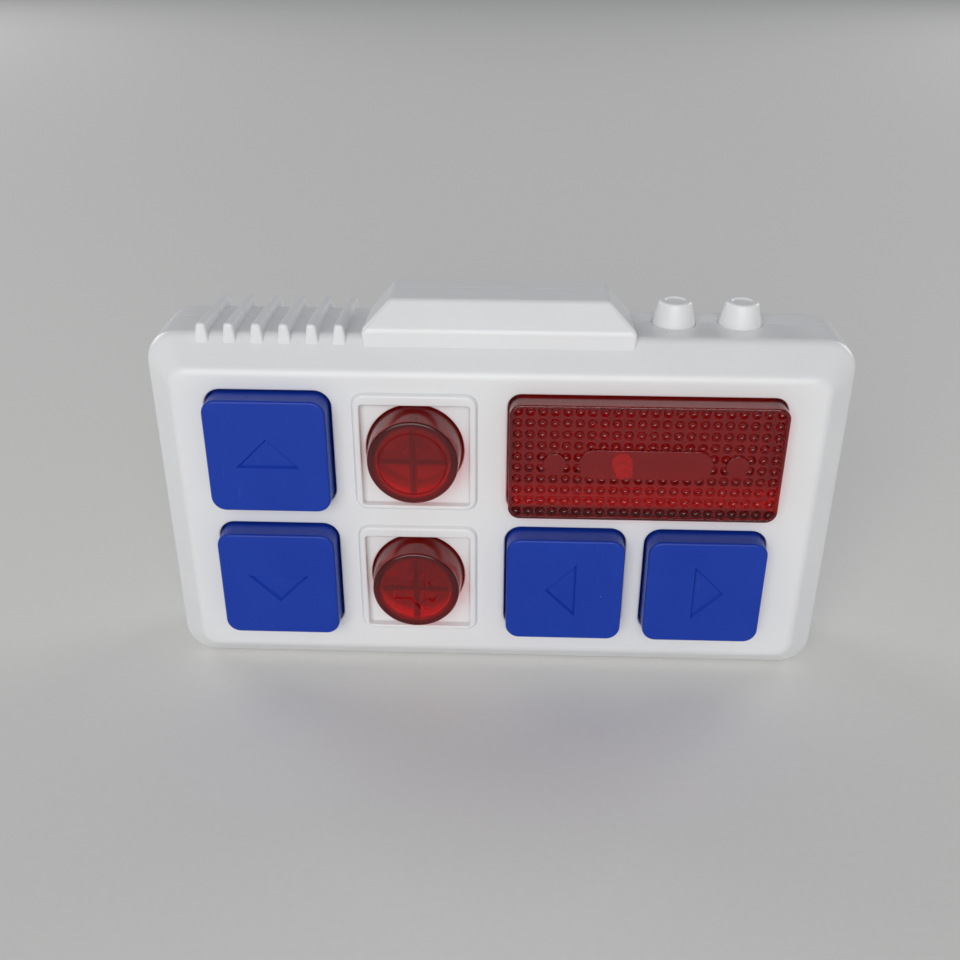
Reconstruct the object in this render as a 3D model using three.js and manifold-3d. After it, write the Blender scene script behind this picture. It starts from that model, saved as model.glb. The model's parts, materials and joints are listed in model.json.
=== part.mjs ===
// A hand-held push-key sound box with a dotted signal lens, standing on its long bottom edge.
// Millimetres, +X to the right, +Y from the key face to the rear, +Z up.
// Pieces are laid out with y = 0 on the flat key face, x = 0 on the middle and z = 0 on the bottom.
// The exported group is then moved along Y, so that its origin is the middle of the whole box's base.

import * as THREE from "three";
import { mergeVertices } from "three/addons/utils/BufferGeometryUtils.js";
import Module from "manifold-3d";

const wasm = await Module();
wasm.setup();

// Driving dimensions of the case
const WIDTH = 120;
const HEIGHT = 65.7;
const DEPTH = 24;
const WALL = 2;
const GAP = 0.3;
const CHAMFER = 5.1;
const FACE_RADIUS = 2;
const SIDE_RADIUS = 5.5;
const SEAM_Y = 13.2;
const CHAMFER_WALL = 0.83; // a 45 degree wall's inner edge lies this much further in
const LIP_LENGTH = 2;
const LIP_WALL = 1;
const CORNER_STEPS = 4;

// Arrow keys
const KEY_HALF = 10.37;
const KEY_RADIUS = 2.5;
const KEY_PROUD = 3.86;
const KEY_CLEARANCE = 0.4;
const KEY_WALL = 1.5;
const KEYS = [
  { name: "key_up", x: -38.8, z: 46.7, turn: 0 },
  { name: "key_down", x: -38.8, z: 21.1, turn: Math.PI },
  { name: "key_left", x: 12.3, z: 21.1, turn: Math.PI / 2 },
  { name: "key_right", x: 37.1, z: 21.1, turn: -Math.PI / 2 },
];
const ARROW_HALF_BASE = 5;
const ARROW_BASE = -1.8;
const ARROW_TIP = 3.2;
const ENGRAVED = 0.2;

// Flanges of everything that is held behind the key face
const FLANGE_FRONT = WALL + GAP;
const FLANGE_BACK = FLANGE_FRONT + 1;
const FLANGE_WIDTH = 1;

// Round buttons in their raised square frames
const BUTTON_X = -14.1;
const BUTTON_PROUD = 4.9;
const BUTTON_FACE_RADIUS = 7.64;
const BUTTON_BASE_RADIUS = 8.4;
const BUTTON_SIDES = 28;
const BUTTONS = [
  { name: "round_button_upper", z: 46.6, frameLow: 35.4, frameHigh: 57.2 },
  { name: "round_button_lower", z: 21.2, frameLow: 9.9, frameHigh: 31.7 },
];
const FRAME_LEFT = -24.5;
const FRAME_RIGHT = -3.5;
const FRAME_PROUD = 0.8;
const FRAME_SIDE_RIM = 1.2;
const FRAME_TOP_RIM = 1.9;
const FRAME_LOW_RIM = 0.9;
const FRAME_FLOOR = 0.6;

// Signal lens
const LENS = { x: 25, z: 46.4, halfX: 23, halfZ: 10.7, radius: 2 };
const LENS_PROUD = 3.7;
const LENS_WALL = 1.5;
const LENS_CATCH_X = [9.5, 38.5];

// Top edge: ribs, raised block and pegs
const RIB_FIRST_X = -49.8;
const RIB_PITCH = 4.63;
const RIB_COUNT = 6;
const BLOCK_HALF = 22.5;
const BLOCK_TOP_HALF = 17.3;
const BLOCK_HEIGHT = 5.7;
const PEG_X = { top_peg_left: 30, top_peg_right: 41.4 };
const PEG_BASE_RADIUS = 3.7;
const PEG_TOP_RADIUS = 2.75;
const PEG_HEIGHT = 4;
const PEG_SIDES = 20;

// Circuit board and what is on it
const BOARD_FRONT = 5.7;
const BOARD_BACK = 6.9;
const BOARD_HALF_X = 50;
const BOARD_LOW = 3.4;
const BOARD_HIGH = 62.9;
const BOARD_SCREWS = [
  { name: "board_screw_low_left", x: -45, z: 5.6 },
  { name: "board_screw_low_right", x: 45, z: 5.6 },
  { name: "board_screw_high_left", x: -45, z: 60.9 },
  { name: "board_screw_high_right", x: 45, z: 60.9 },
];
const LAMP = { x: 22, z: 42.5, radius: 1.5 };

// Case screws
const CASE_SCREWS = [
  { name: "case_screw_low_left", x: -53.6, z: 8.2 },
  { name: "case_screw_low_right", x: 53.6, z: 8.2 },
  { name: "case_screw_high_left", x: -53.6, z: 57.5 },
  { name: "case_screw_high_right", x: 53.6, z: 57.5 },
];
const CASE_SCREW_SEAT = 15.4;
const CASE_BOSS_FRONT = 2.6;
const CASE_BOSS_REAR = 3.9;
const CASE_PILOT = 1.55;
const BOARD_POST = 2.2;
const BOARD_PILOT = 1.2;
const SCREW_SIDES = 10;

// Cells and their bay, open to the rear
const CELL_RADIUS = 5.25;
const CELL_LENGTH = 44.5;
const CELL_NUB = 0.8;
const CELL_Y = 16.2;
const BAY = { x: 27.5, z: 30, halfX: 25.5, halfZ: 11.5, floor: 10.4 };
const BAY_WALL = 1.6;
const BAY_LEDGE = 0.8; // the rear wall's opening is this much larger than the bay
const CELL_OFFSET_Z = 5.75;
const CONTACT_PLATE = 0.4;
const CONTACT_DIMPLE = 0.6;
const COVER_FRONT = DEPTH - WALL + GAP;
const COVER_TAB = { x: 27.5, z: 15.4, radius: 3.6 };

// Loudspeaker
const SPEAKER = { x: -29, z: 33, radius: 18 };
const SPEAKER_EAR = 21.4;
const EAR_POST = 2.6;
const EAR_PILOT = 1.3;
const GRILLE_RADIUS = 15;
const GRILLE_PITCH = 4;
const GRILLE_SLOT = 2;
const GRILLE_ROWS = 7;

const LEAD_RADIUS = 0.5;

function material(color, roughness, metalness = 0) {
  return new THREE.MeshStandardMaterial({ color, roughness, metalness });
}

const WHITE_PLASTIC = () => material(0xe4e6ea, 0.35);
const BLUE_PLASTIC = () => material(0x1e379f, 0.35);
const RED_CLEAR = () => material(0x96202a, 0.15);
const RUBBER = () => material(0x9b9da0, 0.8);
const TAN_LAMINATE = () => material(0xb08a58, 0.5);
const BLACK_PLASTIC = () => material(0x18181a, 0.5);
const STEEL = () => material(0xb9bcc0, 0.3, 1);
const PAPER_CONE = () => material(0x2a2a2c, 0.9);
const CELL_WRAP = () => material(0x2f6b4a, 0.4);

// ---------- solids ----------

// Turns a closed three.js geometry into a solid, whichever way round its faces are.
function solid(geometry) {
  const bare = geometry.clone();
  bare.deleteAttribute("normal");
  bare.deleteAttribute("uv");
  const merged = mergeVertices(bare, 1e-4);
  const index = merged.index.array;
  const kept = [];
  for (let i = 0; i < index.length; i += 3) {
    const [a, b, c] = [index[i], index[i + 1], index[i + 2]];
    if (a !== b && b !== c && c !== a) kept.push(a, b, c);
  }
  const build = (order) =>
    new wasm.Manifold(
      new wasm.Mesh({
        numProp: 3,
        vertProperties: merged.attributes.position.array,
        triVerts: new Uint32Array(order),
      }),
    );
  const made = build(kept);
  return made.volume() > 0 ? made : build(kept.reverse());
}

function geometryOf(body) {
  const mesh = body.getMesh();
  const geometry = new THREE.BufferGeometry();
  geometry.setAttribute(
    "position",
    new THREE.BufferAttribute(Float32Array.from(mesh.vertProperties), 3),
  );
  geometry.setIndex(Array.from(mesh.triVerts));
  geometry.computeVertexNormals();
  return geometry;
}

const join = (first, ...rest) => rest.reduce((all, next) => all.add(next), first);
const cut = (first, ...rest) => rest.reduce((all, next) => all.subtract(next), first);

// A convex outline with round corners, as points in the X-Z plane.
function outline(halfX, halfZ, radius, x = 0, z = 0) {
  const points = [];
  for (let corner = 0; corner < 4; corner++) {
    const signX = corner === 0 || corner === 3 ? 1 : -1;
    const signZ = corner < 2 ? 1 : -1;
    for (let step = 0; step <= CORNER_STEPS; step++) {
      const angle = (corner + step / CORNER_STEPS) * (Math.PI / 2);
      points.push([
        x + signX * (halfX - radius) + radius * Math.cos(angle),
        z + signZ * (halfZ - radius) + radius * Math.sin(angle),
      ]);
    }
  }
  return points;
}

// A solid through convex rings of 3-D points, each ring with the same number of points.
function loft(rings) {
  const size = rings[0].length;
  const positions = rings.flat(2);
  const index = [];
  for (let ring = 0; ring + 1 < rings.length; ring++) {
    for (let i = 0; i < size; i++) {
      const a = ring * size + i;
      const b = ring * size + ((i + 1) % size);
      index.push(a, b + size, b, a, a + size, b + size);
    }
  }
  const last = (rings.length - 1) * size;
  for (let i = 1; i + 1 < size; i++) {
    index.push(0, i, i + 1);
    index.push(last, last + i + 1, last + i);
  }
  const geometry = new THREE.BufferGeometry();
  geometry.setAttribute("position", new THREE.Float32BufferAttribute(positions, 3));
  geometry.setIndex(index);
  return solid(geometry);
}

// A loft along Y through outlines in the X-Z plane: [[outline, y], ...].
const loftY = (sections) =>
  loft(sections.map(([points, y]) => points.map(([x, z]) => [x, y, z])));

// A straight plate between y0 and y1 with a round-cornered outline.
const plate = (halfX, halfZ, radius, x, z, y0, y1) =>
  loftY([
    [outline(halfX, halfZ, radius, x, z), y0],
    [outline(halfX, halfZ, radius, x, z), y1],
  ]);

function box(x0, x1, y0, y1, z0, z1) {
  const shape = new THREE.BoxGeometry(x1 - x0, y1 - y0, z1 - z0);
  return solid(shape.translate((x0 + x1) / 2, (y0 + y1) / 2, (z0 + z1) / 2));
}

// A round bar along Y.
function bar(radius, x, z, y0, y1, sides = 12) {
  const shape = new THREE.CylinderGeometry(radius, radius, y1 - y0, sides);
  return solid(shape.translate(x, (y0 + y1) / 2, z));
}

// A turned solid about the Y direction through (x, z), from a profile of [radius, y] points.
function turned(profile, x = 0, z = 0, sides = 20) {
  const points = profile.map(([radius, y]) => new THREE.Vector2(radius, y));
  return solid(new THREE.LatheGeometry(points, sides).translate(x, 0, z));
}

// A round lead through hand-placed points.
function lead(points) {
  const route = new THREE.CatmullRomCurve3(points.map((p) => new THREE.Vector3(...p)));
  const section = new THREE.Shape().absarc(0, 0, LEAD_RADIUS, 0, 2 * Math.PI);
  return solid(
    new THREE.ExtrudeGeometry(section, {
      steps: 10,
      curveSegments: 4,
      extrudePath: route,
    }),
  );
}

// ---------- the case ----------

const bodyOutline = (inset, radius) =>
  outline(WIDTH / 2 - inset, HEIGHT / 2 - inset, radius, 0, HEIGHT / 2);

function caseOutside() {
  return loftY([
    [bodyOutline(CHAMFER, FACE_RADIUS), 0],
    [bodyOutline(0, SIDE_RADIUS), CHAMFER],
    [bodyOutline(0, SIDE_RADIUS), DEPTH - CHAMFER],
    [bodyOutline(CHAMFER, FACE_RADIUS), DEPTH],
  ]);
}

function caseInside() {
  const flat = CHAMFER + CHAMFER_WALL;
  return loftY([
    [bodyOutline(flat, FACE_RADIUS - 0.5), WALL],
    [bodyOutline(WALL, SIDE_RADIUS - WALL), flat],
    [bodyOutline(WALL, SIDE_RADIUS - WALL), DEPTH - flat],
    [bodyOutline(flat, FACE_RADIUS - 0.5), DEPTH - WALL],
  ]);
}

const rectangle = (half, y0, y1, z) => [
  [half, y0, z],
  [half, y1, z],
  [-half, y1, z],
  [-half, y0, z],
];

function blockOutside() {
  return loft([
    rectangle(BLOCK_HALF - 0.1, 4.1, 19.6, HEIGHT - 1.6),
    rectangle(BLOCK_HALF + 0.1, 4.1, 18.5, HEIGHT + 0.9),
    rectangle(BLOCK_TOP_HALF, 6.8, 16.2, HEIGHT + BLOCK_HEIGHT),
  ]);
}

function blockInside() {
  return loft([
    rectangle(BLOCK_HALF - 2.2, 6.3, 16.8, HEIGHT - 2.5),
    rectangle(BLOCK_HALF - 2.2, 6.3, 16.4, HEIGHT + 0.9),
    rectangle(BLOCK_TOP_HALF - 0.3, 8, 14.8, HEIGHT + BLOCK_HEIGHT - WALL),
  ]);
}

// One tapered rib, whose ridge falls a little towards the rear.
function rib(x) {
  const [foot, ridge] = [1.7, 0.7];
  return loft([
    rectangle(foot, 3.6, 22.8, HEIGHT - 4).map(([dx, y, z]) => [x + dx, y, z]),
    [
      [x + ridge, 3.9, HEIGHT + 2],
      [x + ridge, 22.5, HEIGHT + 0.9],
      [x - ridge, 22.5, HEIGHT + 0.9],
      [x - ridge, 3.9, HEIGHT + 2],
    ],
  ]);
}

// Both shells before they are parted at the seam.
function caseBlank() {
  const ribs = Array.from({ length: RIB_COUNT }, (_, i) => rib(RIB_FIRST_X + i * RIB_PITCH));
  const outside = join(caseOutside(), blockOutside(), ...ribs);
  const pegHoles = Object.values(PEG_X).map((x) => pegTurned(
    [
      [0, HEIGHT - WALL - 1],
      [PEG_BASE_RADIUS + GAP, HEIGHT - WALL - 1],
      [PEG_BASE_RADIUS + GAP, HEIGHT + 1],
      [0, HEIGHT + 1],
    ],
    x,
  ));
  return cut(outside, caseInside(), blockInside(), ...pegHoles);
}

// A turned solid standing upright at (x, seam).
function pegTurned(profile, x) {
  const points = profile.map(([radius, z]) => new THREE.Vector2(radius, z));
  const shape = new THREE.LatheGeometry(points, PEG_SIDES).rotateX(Math.PI / 2);
  return solid(shape.translate(x, SEAM_Y, 0));
}

const blank = caseBlank();

function frameParts({ frameLow, frameHigh, z }) {
  const halfX = (FRAME_RIGHT - FRAME_LEFT) / 2;
  const x = (FRAME_RIGHT + FRAME_LEFT) / 2;
  const halfZ = (frameHigh - frameLow) / 2;
  const rim = plate(halfX, halfZ, 2, x, (frameHigh + frameLow) / 2, -FRAME_PROUD, 1);
  const recess = box(
    FRAME_LEFT + FRAME_SIDE_RIM,
    FRAME_RIGHT - FRAME_SIDE_RIM,
    -FRAME_PROUD - 1,
    FRAME_FLOOR,
    frameLow + FRAME_LOW_RIM,
    frameHigh - FRAME_TOP_RIM,
  );
  const hole = bar(BUTTON_BASE_RADIUS + GAP, BUTTON_X, z, -2, WALL + 1, BUTTON_SIDES);
  return { rim, recess, hole };
}

function frontShell() {
  const region = box(-WIDTH, WIDTH, -10, SEAM_Y - GAP / 2, -10, HEIGHT * 2);
  const frames = BUTTONS.map(frameParts);
  const caseBosses = CASE_SCREWS.map(({ x, z }) => bar(CASE_BOSS_FRONT, x, z, WALL - 0.1, SEAM_Y - GAP / 2));
  const boardPosts = BOARD_SCREWS.map(({ x, z }) =>
    bar(BOARD_POST, x, z, WALL - 0.1, BOARD_FRONT - GAP).intersect(caseOutside()),
  );
  const keyHoles = KEYS.map(({ x, z }) => {
    const half = KEY_HALF + KEY_CLEARANCE;
    return plate(half, half, KEY_RADIUS + KEY_CLEARANCE, x, z, -1, WALL + 1);
  });
  const lensHole = plate(
    LENS.halfX + GAP,
    LENS.halfZ + GAP,
    LENS.radius + GAP,
    LENS.x,
    LENS.z,
    -1,
    WALL + 1,
  );
  const casePilots = CASE_SCREWS.map(({ x, z }) => bar(CASE_PILOT, x, z, 4.5, SEAM_Y + 1));
  const boardPilots = BOARD_SCREWS.map(({ x, z }) => bar(BOARD_PILOT, x, z, 3.3, BOARD_FRONT + 1));
  const body = join(
    blank.intersect(region),
    ...frames.map((frame) => frame.rim),
    ...caseBosses,
    ...boardPosts,
  );
  return cut(
    body,
    ...frames.map((frame) => frame.recess),
    ...frames.map((frame) => frame.hole),
    ...keyHoles,
    lensHole,
    ...casePilots,
    ...boardPilots,
  );
}

// The tongue that locates the rear shell inside the front shell.
function lip() {
  const inset = WALL + GAP;
  const [y0, y1] = [SEAM_Y - LIP_LENGTH, SEAM_Y + 1.2];
  const band = (from, low, high) => {
    const ring = bodyOutline(from, SIDE_RADIUS - from);
    return loftY([
      [ring, low],
      [ring, high],
    ]);
  };
  const tongue = band(inset, y0, y1);
  const foot = band(WALL - 0.1, SEAM_Y + GAP / 2, y1);
  const hollow = band(inset + LIP_WALL, y0 - 1, y1 + 1);
  const pegNotch = box(24.2, 47.2, 0, DEPTH, HEIGHT - 4.5, HEIGHT);
  return cut(join(tongue, foot), hollow, pegNotch);
}

function cellBay() {
  const { x, z, halfX, halfZ, floor } = BAY;
  const outer = plate(
    halfX + BAY_WALL,
    halfZ + BAY_WALL,
    1.5,
    x,
    z,
    floor - 1.4,
    DEPTH - WALL + 0.1,
  );
  const tabBoss = bar(4.9, COVER_TAB.x, COVER_TAB.z, 14, DEPTH - WALL + 0.1);
  const hollow = plate(halfX, halfZ, 0.8, x, z, floor, DEPTH + 1);
  const tabPilot = bar(1.5, COVER_TAB.x, COVER_TAB.z, 15.5, DEPTH);
  const leadHoles = [1, -1].map((side) => leadHole(z + side * CELL_OFFSET_Z));
  return { solid: join(outer, tabBoss), voids: [hollow, tabPilot, ...leadHoles] };
}

// A hole through the bay's left wall for a lead.
function leadHole(z) {
  const shape = new THREE.CylinderGeometry(0.9, 0.9, 3, 12).rotateZ(Math.PI / 2);
  return solid(shape.translate(BAY.x - BAY.halfX - BAY_WALL / 2, 13.5, z));
}

function coverOpening() {
  const opening = plate(
    BAY.halfX + BAY_LEDGE,
    BAY.halfZ + BAY_LEDGE,
    1.8,
    BAY.x,
    BAY.z,
    DEPTH - WALL,
    DEPTH + 1,
  );
  const tab = bar(COVER_TAB.radius + GAP, COVER_TAB.x, COVER_TAB.z, DEPTH - WALL, DEPTH + 1);
  return join(opening, tab);
}

// Slots across a circle in the rear wall, each as long as the circle is wide there.
function grilleSlots() {
  return Array.from({ length: GRILLE_ROWS }, (_, row) => {
    const offset = (row - (GRILLE_ROWS - 1) / 2) * GRILLE_PITCH;
    const half = Math.sqrt(GRILLE_RADIUS ** 2 - offset ** 2);
    return plate(
      half,
      GRILLE_SLOT / 2,
      GRILLE_SLOT / 2 - 0.01,
      SPEAKER.x,
      SPEAKER.z + offset,
      DEPTH - WALL - 1,
      DEPTH + 1,
    );
  });
}

function rearShell() {
  const region = box(-WIDTH, WIDTH, SEAM_Y + GAP / 2, DEPTH + 10, -10, HEIGHT * 2);
  const bay = cellBay();
  const caseBosses = CASE_SCREWS.map(({ x, z }) => bar(CASE_BOSS_REAR, x, z, SEAM_Y + GAP, DEPTH - WALL + 0.1));
  const earPosts = [-1, 1].map((side) =>
    bar(EAR_POST, SPEAKER.x + side * SPEAKER_EAR, SPEAKER.z, 20.9, DEPTH - WALL + 0.1),
  );
  const pegShelf = box(25, 46.5, 9, DEPTH - WALL + 0.1, HEIGHT - 4.8, HEIGHT - 3.6);
  const sinks = CASE_SCREWS.map(({ x, z }) => bar(2.8, x, z, CASE_SCREW_SEAT, DEPTH + 1));
  const screwHoles = CASE_SCREWS.map(({ x, z }) => bar(CASE_PILOT, x, z, SEAM_Y - 1, DEPTH));
  const earPilots = [-1, 1].map((side) =>
    bar(EAR_PILOT, SPEAKER.x + side * SPEAKER_EAR, SPEAKER.z, 20, DEPTH - 1),
  );
  const body = join(blank.intersect(region), lip(), bay.solid, ...caseBosses, ...earPosts, pegShelf);
  return cut(
    body,
    ...bay.voids,
    coverOpening(),
    ...grilleSlots(),
    ...sinks,
    ...screwHoles,
    ...earPilots,
  );
}

// ---------- keys, buttons and lens ----------

// A hollow square key about its own middle, with a plunger for its dome.
function arrowKey(turn) {
  const cap = loftY([
    [outline(KEY_HALF - 0.35, KEY_HALF - 0.35, KEY_RADIUS - 0.35), -KEY_PROUD],
    [outline(KEY_HALF, KEY_HALF, KEY_RADIUS), -KEY_PROUD + 0.35],
    [outline(KEY_HALF, KEY_HALF, KEY_RADIUS), FLANGE_BACK],
  ]);
  const half = KEY_HALF + FLANGE_WIDTH;
  const flange = plate(half, half, KEY_RADIUS + FLANGE_WIDTH, 0, 0, FLANGE_FRONT, FLANGE_BACK);
  const inner = KEY_HALF - KEY_WALL;
  const hollow = plate(inner, inner, 1.2, 0, 0, -KEY_PROUD + KEY_WALL, FLANGE_BACK + 1);
  const plunger = bar(2.5, 0, 0, -KEY_PROUD + 1, FLANGE_BACK);
  return cut(join(cut(join(cap, flange), hollow), plunger), arrowMark(turn));
}

// The engraved triangle on a key, pointing up before it is turned.
function arrowMark(turn) {
  const shape = new THREE.Shape();
  shape.moveTo(-ARROW_HALF_BASE, ARROW_BASE);
  shape.lineTo(ARROW_HALF_BASE, ARROW_BASE);
  shape.lineTo(0, ARROW_TIP);
  const prism = new THREE.ExtrudeGeometry(shape, { depth: 1, bevelEnabled: false });
  return solid(
    prism
      .rotateZ(turn)
      .rotateX(Math.PI / 2)
      .translate(0, -KEY_PROUD + ENGRAVED, 0),
  );
}

// A hollow round button about its own middle, with a cross rib and a plunger.
function roundButton() {
  const face = -BUTTON_PROUD;
  const cup = turned([
    [0, face],
    [BUTTON_FACE_RADIUS - 0.4, face],
    [BUTTON_FACE_RADIUS, face + 0.4],
    [BUTTON_BASE_RADIUS, FRAME_FLOOR],
    [BUTTON_BASE_RADIUS, FLANGE_FRONT],
    [BUTTON_BASE_RADIUS + 1.3, FLANGE_FRONT],
    [BUTTON_BASE_RADIUS + 1.3, FLANGE_BACK],
    [BUTTON_BASE_RADIUS - 1.3, FLANGE_BACK],
    [BUTTON_FACE_RADIUS - 1.3, face + 1.4],
    [0, face + 1.4],
  ], 0, 0, BUTTON_SIDES);
  const reach = BUTTON_FACE_RADIUS - 1;
  const ribs = join(
    box(-reach, reach, face + 1.2, face + 4.5, -0.5, 0.5),
    box(-0.5, 0.5, face + 1.2, face + 4.5, -reach, reach),
  );
  return join(cup, ribs, bar(2, 0, 0, face + 1.2, FLANGE_BACK));
}

function displayLens() {
  const { x, z, halfX, halfZ, radius } = LENS;
  const soft = 0.4;
  const shell = loftY([
    [outline(halfX - soft, halfZ - soft, radius - soft, x, z), -LENS_PROUD],
    [outline(halfX, halfZ, radius, x, z), -LENS_PROUD + soft],
    [outline(halfX, halfZ, radius, x, z), FLANGE_BACK],
  ]);
  const flange = plate(
    halfX + FLANGE_WIDTH,
    halfZ + FLANGE_WIDTH,
    radius + FLANGE_WIDTH,
    x,
    z,
    FLANGE_FRONT,
    FLANGE_BACK,
  );
  const hollow = plate(
    halfX - LENS_WALL,
    halfZ - LENS_WALL,
    radius - 1,
    x,
    z,
    -LENS_PROUD + LENS_WALL,
    FLANGE_BACK + 1,
  );
  const low = z - halfZ + LENS_WALL - 0.2;
  const catches = LENS_CATCH_X.map((at) =>
    box(at - 0.4, at + 0.4, -LENS_PROUD + 1, FLANGE_BACK, low, low + 1.5),
  );
  return join(cut(join(shell, flange), hollow), ...catches);
}

function topPeg(x) {
  return pegTurned(
    [
      [0, HEIGHT - WALL - GAP - 1],
      [PEG_BASE_RADIUS + 1.3, HEIGHT - WALL - GAP - 1],
      [PEG_BASE_RADIUS + 1.3, HEIGHT - WALL - GAP],
      [PEG_BASE_RADIUS, HEIGHT - WALL - GAP],
      [PEG_BASE_RADIUS, HEIGHT],
      [PEG_TOP_RADIUS + 0.1, HEIGHT + PEG_HEIGHT - 0.3],
      [PEG_TOP_RADIUS - 0.2, HEIGHT + PEG_HEIGHT],
      [PEG_TOP_RADIUS - 1, HEIGHT + PEG_HEIGHT],
      [PEG_TOP_RADIUS - 1.6, HEIGHT + PEG_HEIGHT - 0.4],
      [0, HEIGHT + PEG_HEIGHT - 0.4],
    ],
    x,
  );
}

// ---------- electronics ----------

// A hollow rubber dome between a plunger and the board, open towards the board.
function switchDome() {
  const top = FLANGE_BACK + GAP;
  const foot = BOARD_FRONT - GAP;
  return turned([
    [0, top],
    [2.2, top],
    [2.6, top + 0.5],
    [4.2, foot - 0.4],
    [4.8, foot - 0.4],
    [4.8, foot],
    [3.6, foot],
    [2, top + 0.6],
    [0, top + 0.6],
  ], 0, 0, 12);
}

function circuitBoard() {
  const halfZ = (BOARD_HIGH - BOARD_LOW) / 2;
  const middle = BOARD_LOW + halfZ;
  const slab = plate(BOARD_HALF_X, halfZ, 1, 0, middle, BOARD_FRONT, BOARD_BACK);
  const holes = BOARD_SCREWS.map(({ x, z }) => bar(BOARD_PILOT, x, z, BOARD_FRONT - 1, BOARD_BACK + 1));
  return cut(slab, ...holes);
}

function soundChip() {
  const foot = BOARD_BACK + GAP;
  return turned([[0, foot], [4.5, foot], [3.6, foot + 0.9], [2, foot + 1.3], [0, foot + 1.4]], -8, 48, 16);
}

function lamp() {
  const foot = BOARD_FRONT - GAP;
  const { x, z, radius } = LAMP;
  return turned([
    [0, 0],
    [radius * 0.7, 0.4],
    [radius, radius],
    [radius, foot - 1],
    [radius + 0.3, foot - 1],
    [radius + 0.3, foot],
    [0, foot],
  ], x, z, 16);
}

// A pan-head screw pointing towards -Y: head from seat to top, shank from tip to seat.
function panScrew(x, z, { tip, seat, top, shank, head }) {
  return turned([
    [0, tip],
    [shank * 0.5, tip],
    [shank, tip + 0.8],
    [shank, seat],
    [head, seat],
    [head, top - 0.3],
    [head - 0.4, top],
    [0, top],
  ], x, z, SCREW_SIDES);
}

// A clamp screw points the other way, towards the rear wall.
function clampScrew(x, z) {
  return turned([
    [0, 22.8],
    [0.5, 22.8],
    [1, 22.2],
    [1, 19.1],
    [2, 19.1],
    [2, 18.3],
    [1.7, 18],
    [0, 18],
  ], x, z, SCREW_SIDES);
}

function speakerBasket() {
  const { x, z, radius } = SPEAKER;
  return turned([
    [0, 16.9],
    [10, 16.9],
    [15.4, 20.9],
    [radius, 20.9],
    [radius, DEPTH - WALL - GAP],
    [15.8, DEPTH - WALL - GAP],
    [15, 21.3],
    [9.6, 17.7],
    [0, 17.7],
  ], x, z);
}

function speakerCone() {
  return turned([
    [0, 19.6],
    [4.5, 18.2],
    [14, 21.2],
    [14.4, 21.65],
    [13.6, 21.65],
    [4.6, 18.8],
    [0, 20.2],
  ], SPEAKER.x, SPEAKER.z);
}

function speakerClamp() {
  const { x, z, radius } = SPEAKER;
  const [y0, y1] = [19.4, 20.6];
  const ears = [-1, 1].map((side) => bar(3.1, x + side * SPEAKER_EAR, z, y0, y1));
  const holes = [-1, 1].map((side) => bar(EAR_PILOT, x + side * SPEAKER_EAR, z, y0 - 1, y1 + 1));
  const ring = join(bar(radius + 0.6, x, z, y0, y1, 20), ...ears);
  return cut(ring, bar(radius - 1.8, x, z, y0 - 1, y1 + 1, 20), ...holes);
}

// ---------- cells and contacts ----------

const BAY_LEFT = BAY.x - BAY.halfX;
const BAY_RIGHT = BAY.x + BAY.halfX;
const NUB_CLEAR = GAP + CONTACT_PLATE + CONTACT_DIMPLE + GAP;

// A turned solid along X, from a profile of [radius, x] points.
function turnedX(profile, z, sides = 16) {
  const points = profile.map(([radius, x]) => new THREE.Vector2(radius, x));
  const shape = new THREE.LatheGeometry(points, sides).rotateZ(-Math.PI / 2);
  return solid(shape.translate(0, CELL_Y, z));
}

// A cell whose nub end is at x and points along direction (1 or -1).
function cell(x, direction, z) {
  const at = (length) => x - direction * length;
  return turnedX(
    [
      [0, at(0)],
      [1.9, at(0)],
      [1.9, at(CELL_NUB)],
      [CELL_RADIUS - 0.3, at(CELL_NUB)],
      [CELL_RADIUS, at(CELL_NUB + 0.3)],
      [CELL_RADIUS, at(CELL_LENGTH - 0.3)],
      [CELL_RADIUS - 0.3, at(CELL_LENGTH)],
      [0, at(CELL_LENGTH)],
    ],
    z,
  );
}

const contactPlate = (x0, x1, z0, z1) => box(x0, x1, BAY.floor + GAP, 21, z0, z1);

// The dimple that a cell's nub presses on.
const dimple = (from, to, z) =>
  turnedX(
    [
      [0, from],
      [2.2, from],
      [1.2, to],
      [0, to],
    ],
    z,
    16,
  );

// The outer shape of a conical contact spring.
const springCone = (from, to, z) =>
  turnedX(
    [
      [0, from],
      [3.8, from],
      [2.2, to],
      [0, to],
    ],
    z,
    16,
  );

const UPPER_Z = BAY.z + CELL_OFFSET_Z;
const LOWER_Z = BAY.z - CELL_OFFSET_Z;

function plateContact() {
  const x0 = BAY_LEFT + GAP;
  const x1 = x0 + CONTACT_PLATE;
  const body = contactPlate(x0, x1, UPPER_Z - 4.5, UPPER_Z + 4.5);
  return join(body, dimple(x1 - 0.1, x1 + CONTACT_DIMPLE, UPPER_Z));
}

function springContact() {
  const x0 = BAY_LEFT + GAP;
  const x1 = x0 + CONTACT_PLATE;
  const body = contactPlate(x0, x1, LOWER_Z - 4.5, LOWER_Z + 4.5);
  return join(body, springCone(x1 - 0.1, BAY_RIGHT - NUB_CLEAR - CELL_LENGTH - GAP, LOWER_Z));
}

function bridgeContact() {
  const x1 = BAY_RIGHT - GAP;
  const x0 = x1 - CONTACT_PLATE;
  const body = contactPlate(x0, x1, LOWER_Z - 4.5, UPPER_Z + 4.5);
  const spring = springCone(x0 + 0.1, BAY_LEFT + NUB_CLEAR + CELL_LENGTH + GAP, UPPER_Z);
  return join(body, spring, dimple(x0 + 0.1, x0 - CONTACT_DIMPLE, LOWER_Z));
}

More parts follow.
